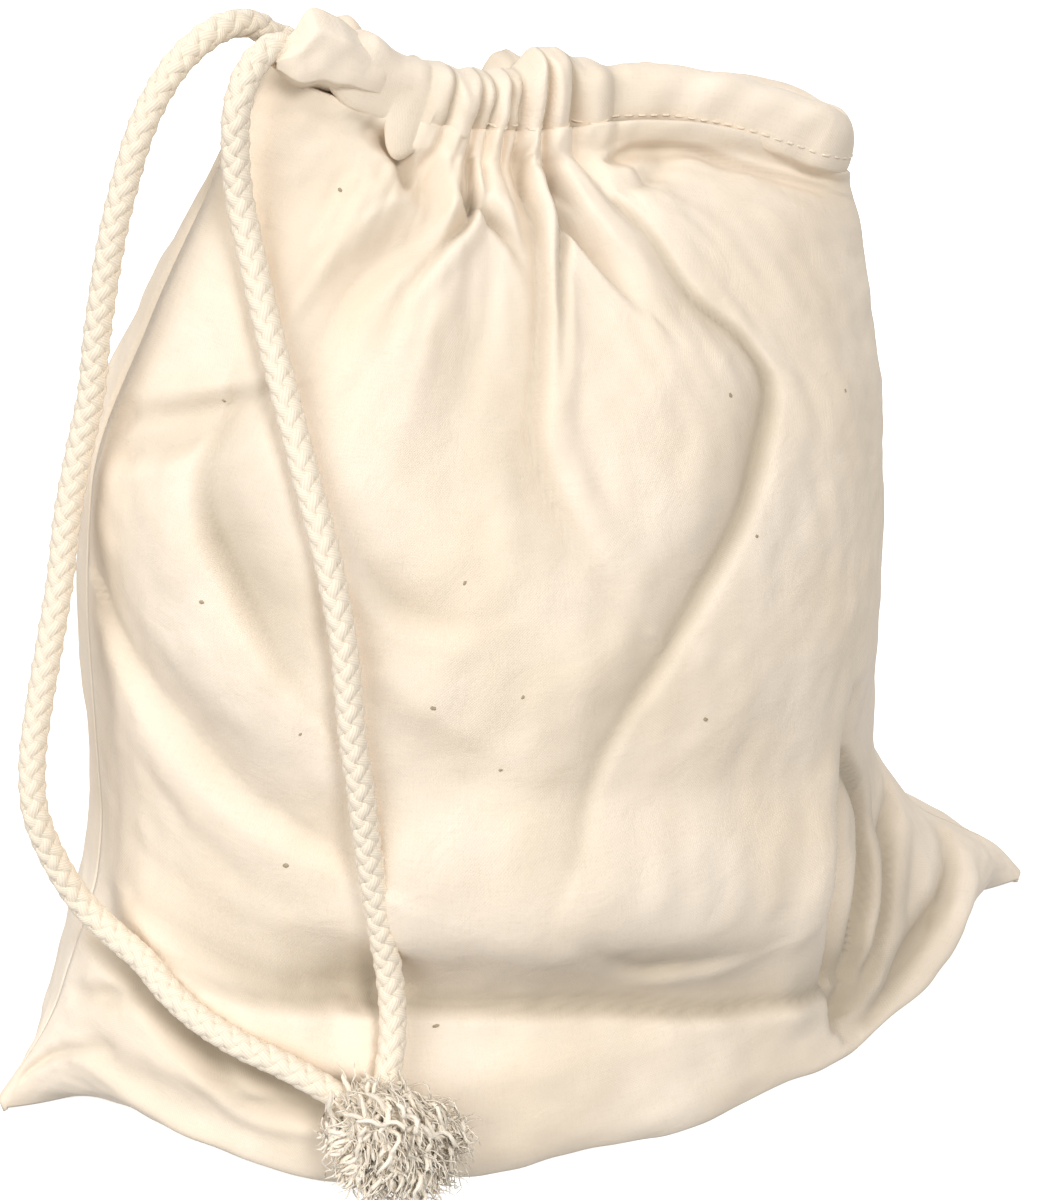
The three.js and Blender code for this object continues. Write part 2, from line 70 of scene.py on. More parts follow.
# Level sections of the filled bag from its bottom seam up, with a mouth lower than in the CAD
SECTION_COLUMNS = ("up", "left_x", "left_z", "right_x", "right_z", "lean",
                   "front_y", "front_z", "back_y", "back_z", "round", "flat", "skew")
SECTIONS = (
    (0.00, -1.00, 0.00, 1.00, 0.00, 0.00, 0.00, 0.00, 0.00, 0.00, 1.00, 0.60, 0.00),
    (0.08, -0.93, 0.05, 0.94, 0.04, 0.00, 0.56, 0.00, 0.52, 0.00, 0.66, 0.55, 0.10),
    (0.15, -0.88, 0.09, 0.86, 0.07, 0.02, 0.93, 0.00, 0.87, 0.00, 0.50, 0.50, 0.10),
    (0.19, -0.85, 0.13, 0.78, 0.10, 0.03, 0.97, 0.03, 0.93, 0.04, 0.48, 0.40, 0.10),
    (0.24, -0.81, 0.18, 0.71, 0.15, 0.05, 0.97, 0.09, 0.94, 0.09, 0.47, 0.30, 0.08),
    (0.28, -0.78, 0.22, 0.66, 0.20, 0.08, 0.94, 0.14, 0.93, 0.15, 0.47, 0.20, 0.05),
    (0.33, -0.76, 0.29, 0.64, 0.26, 0.12, 0.95, 0.21, 0.94, 0.24, 0.47, 0.10, 0.00),
    (0.45, -0.76, 0.46, 0.64, 0.44, 0.15, 1.00, 0.39, 0.97, 0.40, 0.47, 0.00, 0.00),
    (0.58, -0.74, 0.61, 0.64, 0.57, 0.15, 0.92, 0.55, 0.92, 0.55, 0.48, 0.00, 0.00),
    (0.72, -0.63, 0.76, 0.63, 0.68, 0.15, 0.69, 0.72, 0.74, 0.72, 0.50, 0.00, 0.00),
    (0.86, -0.51, 0.89, 0.62, 0.75, 0.14, 0.38, 0.85, 0.43, 0.82, 0.48, 0.00, 0.00),
    (0.95, -0.45, 0.96, 0.60, 0.79, 0.13, 0.20, 0.88, 0.22, 0.85, 0.40, 0.00, 0.00),
    (1.00, -0.42, 0.99, 0.59, 0.81, 0.13, 0.15, 0.907, 0.15, 0.88, 0.22, 0.00, 0.00))

# Where the cloth share across meets the drawn mouth, and the pleats of its gathered stretch
MOUTH_ACROSS = (0.0, 0.12, 0.80, 1.0)
MOUTH_REACH = (-1.0, -0.72, 0.10, 1.0)
PLEAT_VALLEYS = (0.215, 0.285, 0.385, 0.435, 0.500, 0.545, 0.620, 0.700, 0.790)
PLEAT_HEIGHTS = (1.4, 3.4, 1.5, 3.2, 1.3, 4.2, 3.8, 2.0)

# How far the casing top stands up, by reach across the mouth
CREST_REACH = (-1.0, -0.86, -0.68, -0.28, -0.17, 0.14, 1.0)
CREST_HEIGHTS = (1.0, 3.5, 0.0, 0.0, 4.6, 0.0, 0.0)

# The flap at the casing's left front end: heights of its two edges along X, in millimetres
FLAP_X = (-53.0, -49.0, -45.0, -40.0, -35.0, -29.0, -22.0)
FLAP_LOW = (219.6, 215.6, 213.8, 213.0, 211.4, 208.6, 206.6)
FLAP_TOP = (222.4, 225.8, 230.4, 228.0, 223.4, 218.6, 215.4)

# Routes of the two loose cord ends in millimetres, from inside the casing to inside the knot
FRONT_CORD_ROUTE = (
    (-43.6, 1.4, 221.0), (-46.6, 1.4, 221.5), (-52.5, 0.2, 223.5), (-58.0, -2.5, 221.0),
    (-61.5, -4.5, 214.5),
    (-62.3, -5.0, 206.0), (-62.2, -6.0, 197.5), (-61.6, -9.5, 188.5), (-61.2, -14.2, 179.5),
    (-60.8, -19.4, 171.2), (-60.3, -24.8, 163.0), (-59.4, -32.6, 150.0), (-58.3, -38.8, 138.4),
    (-57.6, -42.2, 129.4), (-57.0, -44.8, 120.0), (-57.0, -46.7, 110.4), (-56.8, -48.3, 100.2),
    (-56.0, -49.2, 91.5), (-55.2, -49.5, 81.5), (-54.0, -49.8, 70.0), (-52.6, -50.0, 58.8),
    (-51.4, -50.6, 49.4), (-51.4, -52.6, 40.6), (-52.6, -55.0, 33.8), (-55.0, -58.0, 27.2),
    (-56.2, -60.4, 22.0))
SIDE_CORD_ROUTE = (
    (-43.6, 15.2, 219.0), (-46.6, 15.2, 219.5), (-52.0, 13.6, 223.6), (-58.0, 11.0, 225.0),
    (-64.3, 8.6, 223.4),
    (-69.6, 7.2, 219.8), (-74.0, 6.2, 214.6), (-77.6, 5.2, 208.6), (-80.8, 4.6, 200.4),
    (-83.9, 4.2, 190.6), (-86.4, 4.0, 179.8), (-88.4, 4.0, 169.4), (-90.3, 4.0, 157.0),
    (-93.2, 4.0, 146.0), (-96.6, 3.0, 133.2), (-99.4, 1.0, 120.4), (-103.0, -1.4, 107.6),
    (-106.6, -3.6, 95.0), (-109.0, -5.4, 84.6), (-109.6, -7.6, 74.4), (-106.4, -9.4, 62.6),
    (-102.0, -12.0, 53.4), (-97.4, -17.0, 48.2), (-93.4, -23.0, 44.8), (-90.6, -29.4, 41.0),
    (-86.2, -36.4, 37.2), (-80.2, -42.8, 33.8), (-72.9, -48.4, 30.4), (-62.6, -56.4, 24.4),
    (-58.4, -60.4, 22.0))

# The frayed knot: its middle, its half sizes and the tips of its loose locks, in millimetres
KNOT_CENTRE = (-57.0, -61.0, 21.0)
KNOT_RADII = (8.0, 6.0, 6.5)
LOCK_TIPS = (
    (-65.0, -59.0, 12.0), (-62.5, -62.0, 5.0), (-58.5, -66.0, 1.6), (-53.5, -67.5, 1.6),
    (-48.5, -68.5, 1.6), (-44.0, -67.5, 1.6), (-40.5, -66.5, 4.5), (-38.5, -65.5, 9.5),
    (-41.0, -66.0, 14.5), (-46.5, -68.0, 9.0), (-54.0, -68.5, 9.5))


def smooth_step(start: float, end: float, value: Array) -> Array:
    """Eased share of the way from start to end.

    Args:
        start: Value at which the share is 0.
        end: Value at which the share is 1.
        value: Values to place between them.

    Returns:
        The eased shares, from 0 to 1.
    """
    share = np.clip((value - start) / (end - start), 0, 1)
    return share * share * (3 - 2 * share)


def cubic_run(s: Array, span: Array, start: Array, start_slope: Array, end: Array,
              end_slope: Array) -> Array:
    """Cubic curve between two ends with given slopes.

    Args:
        s: Shares of the way from start to end.
        span: Distance between the two ends.
        start: Value at the start.
        start_slope: Slope at the start.
        end: Value at the end.
        end_slope: Slope at the end.

    Returns:
        The curve's values.
    """
    s2, s3 = s * s, s ** 3
    return ((2 * s3 - 3 * s2 + 1) * start + (s3 - 2 * s2 + s) * span * start_slope
            + (3 * s2 - 2 * s3) * end + (s3 - s2) * span * end_slope)


def through_rows(keys: Array, values: Array, key: Array) -> Array:
    """Curve through given rows that never overshoots between two of them.

    Args:
        keys: Rising keys of the rows.
        values: One value a row.
        key: Keys at which the curve is read.

    Returns:
        The curve's values.
    """
    keys = np.asarray(keys, float)
    values = np.asarray(values, float)
    slopes = np.diff(values) / np.diff(keys)
    tangents = np.zeros(len(keys))
    tangents[0], tangents[-1] = slopes[0], slopes[-1]
    for i in range(1, len(keys) - 1):
        before, after = slopes[i - 1], slopes[i]
        tangents[i] = 0 if before * after <= 0 else 2 * before * after / (before + after)
    i = np.clip(np.searchsorted(keys, key, side="left") - 1, 0, len(keys) - 2)
    span = keys[i + 1] - keys[i]
    s = np.clip((key - keys[i]) / span, 0, 1)
    return cubic_run(s, span, values[i], tangents[i], values[i + 1], tangents[i + 1])


def unit(vectors: Array) -> Array:
    """Vectors of length one along the last axis."""
    return vectors / np.maximum(np.linalg.norm(vectors, axis=-1, keepdims=True), 1e-12)


def running_length(points: Array) -> Array:
    """Length of a run of points from its start up to each of them."""
    return np.concatenate([[0], np.cumsum(np.linalg.norm(np.diff(points, axis=0), axis=1))])


def curve_through(points: Array, count: int) -> Array:
    """Smooth curve through points, at even steps along its length.

    Args:
        points: Corner points of the route.
        count: Number of points to return.

    Returns:
        Array of count points.
    """
    points = np.asarray(points, float)
    legs = np.linalg.norm(np.diff(points, axis=0), axis=1)
    chord = np.concatenate([[0], np.cumsum(legs ** 0.5)])
    tangents = np.gradient(points, chord, axis=0)
    fine_steps = 60
    keys = np.linspace(0, chord[-1], fine_steps * len(points))
    i = np.clip(np.searchsorted(chord, keys, side="right") - 1, 0, len(points) - 2)
    span = (chord[i + 1] - chord[i])[:, None]
    s = ((keys - chord[i]) / span[:, 0])[:, None]
    fine = cubic_run(s, span, points[i], tangents[i], points[i + 1], tangents[i + 1])
    run = running_length(fine)
    even = np.linspace(0, run[-1], count)
    return np.stack([np.interp(even, run, fine[:, k]) for k in range(3)], axis=1)


def path_length(points: Array) -> float:
    """Length of a run of points."""
    return float(np.linalg.norm(np.diff(points, axis=0), axis=1).sum())


def carried_frames(points: Array) -> tuple[Array, Array, Array]:
    """Unit vectors that turn as little as they can along a curve.

    Args:
        points: Points of the curve.

    Returns:
        Vectors ahead, sideways and upward at each point.
    """
    ahead = unit(np.gradient(points, axis=0))
    side = unit(np.cross(ahead[0], (0.0, 0.0, 1.0)) + 1e-9)
    sides = np.empty_like(points)
    for i, direction in enumerate(ahead):
        side = unit(side - direction * np.dot(side, direction))
        sides[i] = side
    return ahead, sides, np.cross(sides, ahead)


def gentle_noise(x: Array, y: Array, wave: float, seed: int) -> Array:
    """Smooth random field of about unit size.

    Args:
        x: First coordinate, in millimetres.
        y: Second coordinate, in millimetres.
        wave: Typical distance between two crests, in millimetres.
        seed: Seed of the waves' directions.

    Returns:
        The field's values.
    """
    random = np.random.default_rng(seed)
    field_sum = np.zeros_like(x)
    waves = 16
    for _ in range(waves):
        angle = random.uniform(0, 2 * math.pi)
        number = 2 * math.pi / (wave * random.uniform(0.7, 1.6))
        field_sum += np.sin(number * (x * math.cos(angle) + y * math.sin(angle))
                            + random.uniform(0, 2 * math.pi))
    return field_sum / math.sqrt(waves)


def add_object(name: str, data: bpy.types.ID) -> bpy.types.Object:
    """Adds an object to the scene.

    Args:
        name: Name of the object.
        data: Mesh, light or camera that it holds.

    Returns:
        The new object.
    """
    piece = bpy.data.objects.new(name, data)
    bpy.context.scene.collection.objects.link(piece)
    return piece


def parametric_mesh(name: str, columns: int, rows: int, place: Callable[..., Array],
                    flat: tuple[float, float], copies: int = 1, weld: bool = True,
                    shade: Callable[..., Array] | None = None) -> bpy.types.Object:
    """Grids made by bmesh whose vertices a function then moves into place.

    Args:
        name: Name of the new piece.
        columns: Faces along the first way of each grid.
        rows: Faces along the second way of each grid.
        place: Gives points in millimetres for shares s and t and the grid's number.
        flat: Size of the grid's UV map in metres, along s and t.
        copies: Number of grids.
        weld: True where edges that meet are joined, as on a tube.
        shade: Gives the strength of the painted fold shade for the same shares, where there is one.

    Returns:
        The new object, with a UV map named flat in metres and a painted shade attribute,
        painted_fold_shade.
    """
    shape = bmesh.new()
    for copy in range(copies):
        bmesh.ops.create_grid(shape, x_segments=columns, y_segments=rows, size=0.5,
                              matrix=Matrix.Translation((0.5, 0.5, copy)))
    mesh = bpy.data.meshes.new(name)
    shape.to_mesh(mesh)
    shape.free()
    shares = np.empty(len(mesh.vertices) * 3)
    mesh.vertices.foreach_get("co", shares)
    shares = shares.reshape(-1, 3)
    s, t = shares[:, 0], shares[:, 1]
    number = np.round(shares[:, 2]).astype(int)
    corners = np.empty(len(mesh.loops), dtype=int)
    mesh.loops.foreach_get("vertex_index", corners)
    flat_map = np.stack([s[corners] * flat[0] + UV_GAP * number[corners],
                         t[corners] * flat[1]], axis=1)
    mesh.uv_layers.new(name="flat").data.foreach_set("uv", flat_map.ravel())
    mesh.vertices.foreach_set("co", (place(s, t, number) * MM).ravel())
    # The shade function gives painted shade in folds, stored as a point attribute that darkens the
    # material's colour
    if shade:
        tone = mesh.attributes.new("painted_fold_shade", "FLOAT", "POINT")
        tone.data.foreach_set("value", shade(s, t, number))
    if weld:
        shape = bmesh.new()
        shape.from_mesh(mesh)
        bmesh.ops.remove_doubles(shape, verts=shape.verts, dist=2e-6)
        bmesh.ops.dissolve_degenerate(shape, edges=shape.edges, dist=1e-7)
        shape.to_mesh(mesh)
        shape.free()
    mesh.polygons.foreach_set("use_smooth", [True] * len(mesh.polygons))
    mesh.update()
    return add_object(name, mesh)


def give_wall(piece: bpy.types.Object, thickness: float) -> None:
    """Gives cloth its thickness, from its outer face inwards.

    Args:
        piece: The piece of cloth.
        thickness: Its thickness in millimetres.
    """
    wall = piece.modifiers.new("cloth thickness", "SOLIDIFY")
    wall.thickness = thickness * MM
    wall.offset = -1


def tie(piece: bpy.types.Object, finish: bpy.types.Material,
        node: str | None = None) -> None:
    """Gives a piece its finish and ties it to the frame.

    Args:
        piece: The finished piece.
        finish: Its material.
        node: Name of the CAD node that it replaces, where there is one.
    """
    piece.data.materials.append(finish)
    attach(piece, "root")
    if node:
        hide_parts(node)


def linear(hex_colour: str) -> tuple[float, float, float, float]:
    """Linear RGBA of an sRGB hex colour such as #f1e2cb."""
    channels = [int(hex_colour[i:i + 2], 16) / 255 for i in (1, 3, 5)]
    return (*[c / 12.92 if c <= 0.04045 else ((c + 0.055) / 1.055) ** 2.4 for c in channels], 1.0)


def add_node(tree: bpy.types.NodeTree, kind: str, inputs: dict | None = None,
             **settings: object) -> bpy.types.Node:
    """Adds one node with its settings and links.

    Args:
        tree: Node tree that takes the node.
        kind: Blender's type name of the node.
        inputs: Value or linked output for each input, by name or number.
        settings: Attributes of the node.

    Returns:
        The new node.
    """
    node = tree.nodes.new(kind)
    for name, value in settings.items():
        setattr(node, name, value)
    for key, value in (inputs or {}).items():
        if isinstance(value, bpy.types.NodeSocket):
            tree.links.new(value, node.inputs[key])
        else:
            node.inputs[key].default_value = value
    return node


def new_material(name: str) -> tuple[bpy.types.Material, bpy.types.NodeTree]:
    """Makes an empty node material.

    Args:
        name: Name of the material.

    Returns:
        The material and its node tree.
    """
    material = bpy.data.materials.new(name)
    material.use_nodes = True
    material.node_tree.nodes.clear()
    return material, material.node_tree


@dataclass(frozen=True)
class PlainWeaveCotton:
    """Unbleached plain-weave cotton: matt, faintly fuzzy, with slubs and a fine grid of threads.

    The real thread spacing is about 0.45 mm. It is drawn at 0.62 mm, which is as fine as shows.
    """

    name: str = "unbleached_plain_weave_cotton"
    light: str = "#f3e4d1"
    shade: str = "#eddcc5"
    slub: str = "#e3d2b9"
    # Colour of the painted shade that the painted_fold_shade attribute lays into creases and pleat
    # valleys
    fold: str = "#bcae99"
    thread_mm: float = 0.62
    wobble_mm: float = 6.0
    wobble: float = 5.0
    slub_mm: float = 5.0
    slub_stretch: float = 0.10
    mottle_mm: float = 38.0
    crumple_mm: float = 11.0
    crumple_deep_mm: float = 0.9
    thread_deep_mm: float = 0.16
    roughness: float = 0.95

    def build(self) -> bpy.types.Material:
        """Makes the node material.

        Returns:
            The new material.
        """
        material, tree = new_material(self.name)
        flat = add_node(tree, "ShaderNodeUVMap", uv_map="flat").outputs["UV"]
        split = add_node(tree, "ShaderNodeSeparateXYZ", {0: flat})
        solid = add_node(tree, "ShaderNodeTexCoord").outputs["Object"]
        wobble = add_node(tree, "ShaderNodeTexNoise", {"Vector": solid,
                                                       "Scale": 1 / (self.wobble_mm * MM),
                                                       "Detail": 2.0})
        threads = []
        for axis in ("X", "Y"):
            phase = add_node(tree, "ShaderNodeMath", {0: split.outputs[axis],
                                                      1: 2 * math.pi / (self.thread_mm * MM)},
                             operation="MULTIPLY")
            bent = add_node(tree, "ShaderNodeMath", {0: wobble.outputs["Fac"], 1: self.wobble,
                                                     2: phase.outputs[0]}, operation="MULTIPLY_ADD")
            threads.append(add_node(tree, "ShaderNodeMath", {0: bent.outputs[0]}, operation="SINE"))
        weave = add_node(tree, "ShaderNodeMath", {0: threads[0].outputs[0],
                                                  1: threads[1].outputs[0]}, operation="MULTIPLY")
        slubs = []
        for stretch in ((1.0, self.slub_stretch, 1.0), (self.slub_stretch, 1.0, 1.0)):
            laid = add_node(tree, "ShaderNodeMapping", {"Vector": flat, "Scale": stretch})
            slubs.append(add_node(tree, "ShaderNodeTexNoise",
                                  {"Vector": laid.outputs[0],
                                   "Scale": 1 / (self.slub_stretch * self.slub_mm * MM),
                                   "Detail": 3.0, "Roughness": 0.65}))
        slub = add_node(tree, "ShaderNodeMath", {0: slubs[0].outputs["Fac"],
                                                 1: slubs[1].outputs["Fac"]}, operation="MULTIPLY")
        mottle = add_node(tree, "ShaderNodeTexNoise", {"Vector": solid,
                                                       "Scale": 1 / (self.mottle_mm * MM),
                                                       "Detail": 3.0, "Roughness": 0.55})
        tone = add_node(tree, "ShaderNodeValToRGB", {0: mottle.outputs["Fac"]})
        tone.color_ramp.elements[0].position = 0.36
        tone.color_ramp.elements[0].color = linear(self.shade)
        tone.color_ramp.elements[1].position = 0.62
        tone.color_ramp.elements[1].color = linear(self.light)
        thick = add_node(tree, "ShaderNodeMapRange", {"Value": slub.outputs[0], "From Min": 0.26,
                                                      "From Max": 0.42, "To Min": 0.0,
                                                      "To Max": 0.42})
        colour = add_node(tree, "ShaderNodeMix", {0: thick.outputs[0], 6: tone.outputs[0],
                                                  7: linear(self.slub)}, data_type="RGBA")
        # Painted shade: the painted_fold_shade attribute mixes the cloth towards the fold colour in
        # creases and pleat valleys
        folds = add_node(tree, "ShaderNodeAttribute", attribute_name="painted_fold_shade")
        colour = add_node(tree, "ShaderNodeMix", {0: folds.outputs["Fac"], 6: colour.outputs[2],
                                                  7: linear(self.fold)}, data_type="RGBA")
        relief = add_node(tree, "ShaderNodeMath", {0: weave.outputs[0], 1: 0.5,
                                                   2: slub.outputs[0]}, operation="MULTIPLY_ADD")
        crumple = add_node(tree, "ShaderNodeTexNoise", {"Vector": solid,
                                                        "Scale": 1 / (self.crumple_mm * MM),
                                                        "Detail": 4.0, "Roughness": 0.6,
                                                        "Distortion": 0.8})
        worn = add_node(tree, "ShaderNodeBump", {"Height": crumple.outputs["Fac"], "Strength": 0.45,
                                                 "Distance": self.crumple_deep_mm * MM})
        bump = add_node(tree, "ShaderNodeBump", {"Height": relief.outputs[0], "Strength": 0.22,
                                                 "Distance": self.thread_deep_mm * MM,
                                                 "Normal": worn.outputs[0]})
        cloth = add_node(tree, "ShaderNodeBsdfPrincipled",
                         {"Base Color": colour.outputs[2], "Roughness": self.roughness,
                          "Specular IOR Level": 0.2, "Sheen Weight": 0.15,
                          "Sheen Roughness": 0.6, "Normal": bump.outputs[0]})
        add_node(tree, "ShaderNodeOutputMaterial", {0: cloth.outputs[0]})
        return material


@dataclass(frozen=True)
class BraidedCotton:
    """Soft cotton yarn laid in flat strands: matt, with fine lines of yarn along each strand."""

    name: str = "braided_natural_cotton_yarn"
    light: str = "#f5e8d4"
    # Colour of the painted shade between the yarn lines, and of the darker fuzz
    shade: str = "#eadbc4"
    yarn_mm: float = 0.5
    yarn_slant: float = 0.55
    yarn_relief: float = 0.35
    yarn_deep_mm: float = 0.2
    fuzz_mm: float = 0.9
    roughness: float = 0.96

    def build(self) -> bpy.types.Material:
        """Makes the node material.

        Returns:
            The new material.
        """
        material, tree = new_material(self.name)
        flat = add_node(tree, "ShaderNodeUVMap", uv_map="flat").outputs["UV"]
        solid = add_node(tree, "ShaderNodeTexCoord").outputs["Object"]
        split = add_node(tree, "ShaderNodeSeparateXYZ", {0: flat})
        along = add_node(tree, "ShaderNodeMath", {0: split.outputs["X"], 1: self.yarn_slant,
                                                  2: split.outputs["Y"]}, operation="MULTIPLY_ADD")
        phase = add_node(tree, "ShaderNodeMath", {0: along.outputs[0],
                                                  1: 2 * math.pi / (self.yarn_mm * MM)},
                         operation="MULTIPLY")
        lines = add_node(tree, "ShaderNodeMath", {0: phase.outputs[0]}, operation="SINE")
        fuzz = add_node(tree, "ShaderNodeTexNoise", {"Vector": solid,
                                                     "Scale": 1 / (self.fuzz_mm * MM),
                                                     "Detail": 3.0, "Roughness": 0.7})
        relief = add_node(tree, "ShaderNodeMath", {0: lines.outputs[0], 1: self.yarn_relief,
                                                   2: fuzz.outputs["Fac"]},
                          operation="MULTIPLY_ADD")
        # Painted shade: the yarn is darker where the relief is low, between its yarn lines; the
        # fuzz noise in the relief adds random tone
        tone = add_node(tree, "ShaderNodeValToRGB", {0: relief.outputs[0]})
        tone.color_ramp.elements[0].position = 0.12
        tone.color_ramp.elements[0].color = linear(self.shade)
        tone.color_ramp.elements[1].position = 0.70
        tone.color_ramp.elements[1].color = linear(self.light)
        bump = add_node(tree, "ShaderNodeBump", {"Height": relief.outputs[0], "Strength": 0.35,
                                                 "Distance": self.yarn_deep_mm * MM})
        yarn = add_node(tree, "ShaderNodeBsdfPrincipled",
                        {"Base Color": tone.outputs[0], "Roughness": self.roughness,
                         "Specular IOR Level": 0.2, "Sheen Weight": 0.2,
                         "Sheen Roughness": 0.6, "Normal": bump.outputs[0]})
        add_node(tree, "ShaderNodeOutputMaterial", {0: yarn.outputs[0]})
        return material


@dataclass(frozen=True)
class SeedHusk:
    """Bits of brown cotton-seed husk left in the unbleached yarn: dry, matt and uneven."""

    name: str = "cotton_seed_husk"
    dark: str = "#8f8069"
    light: str = "#b8a78c"
    grain_mm: float = 0.6

    def build(self) -> bpy.types.Material:
        """Makes the node material.

        Returns:
            The new material.
        """
        material, tree = new_material(self.name)
        solid = add_node(tree, "ShaderNodeTexCoord").outputs["Object"]
        grain = add_node(tree, "ShaderNodeTexNoise", {"Vector": solid,
                                                      "Scale": 1 / (self.grain_mm * MM)})
        tone = add_node(tree, "ShaderNodeMix", {0: grain.outputs["Fac"], 6: linear(self.dark),
                                                7: linear(self.light)}, data_type="RGBA")
        husk = add_node(tree, "ShaderNodeBsdfPrincipled",
                        {"Base Color": tone.outputs[2], "Roughness": 0.9})
        add_node(tree, "ShaderNodeOutputMaterial", {0: husk.outputs[0]})
        return material


@dataclass(frozen=True)
class Crease:
    """One fold of a panel, drawn as a stroke over the flat cloth.

    Path points are shares of the cloth across and up, depths are millimetres into the bag at the
    start, middle and end, and widths are half the valley on the left and right of the stroke.
    A lip is how far the cloth rolls out on that side, at its own distance from the stroke. Shade
    is how strongly the painted shade of deep folds lies along it.
    """

    name: str
    path: tuple[tuple[float, float], ...]
    depth: tuple[float, float, float]
    left: float
    right: float
    crisp: float = 0.0
    lip_left: float = 0.0
    lip_right: float = 0.0
    lip_width: float = 7.0
    shade: float = 0.0


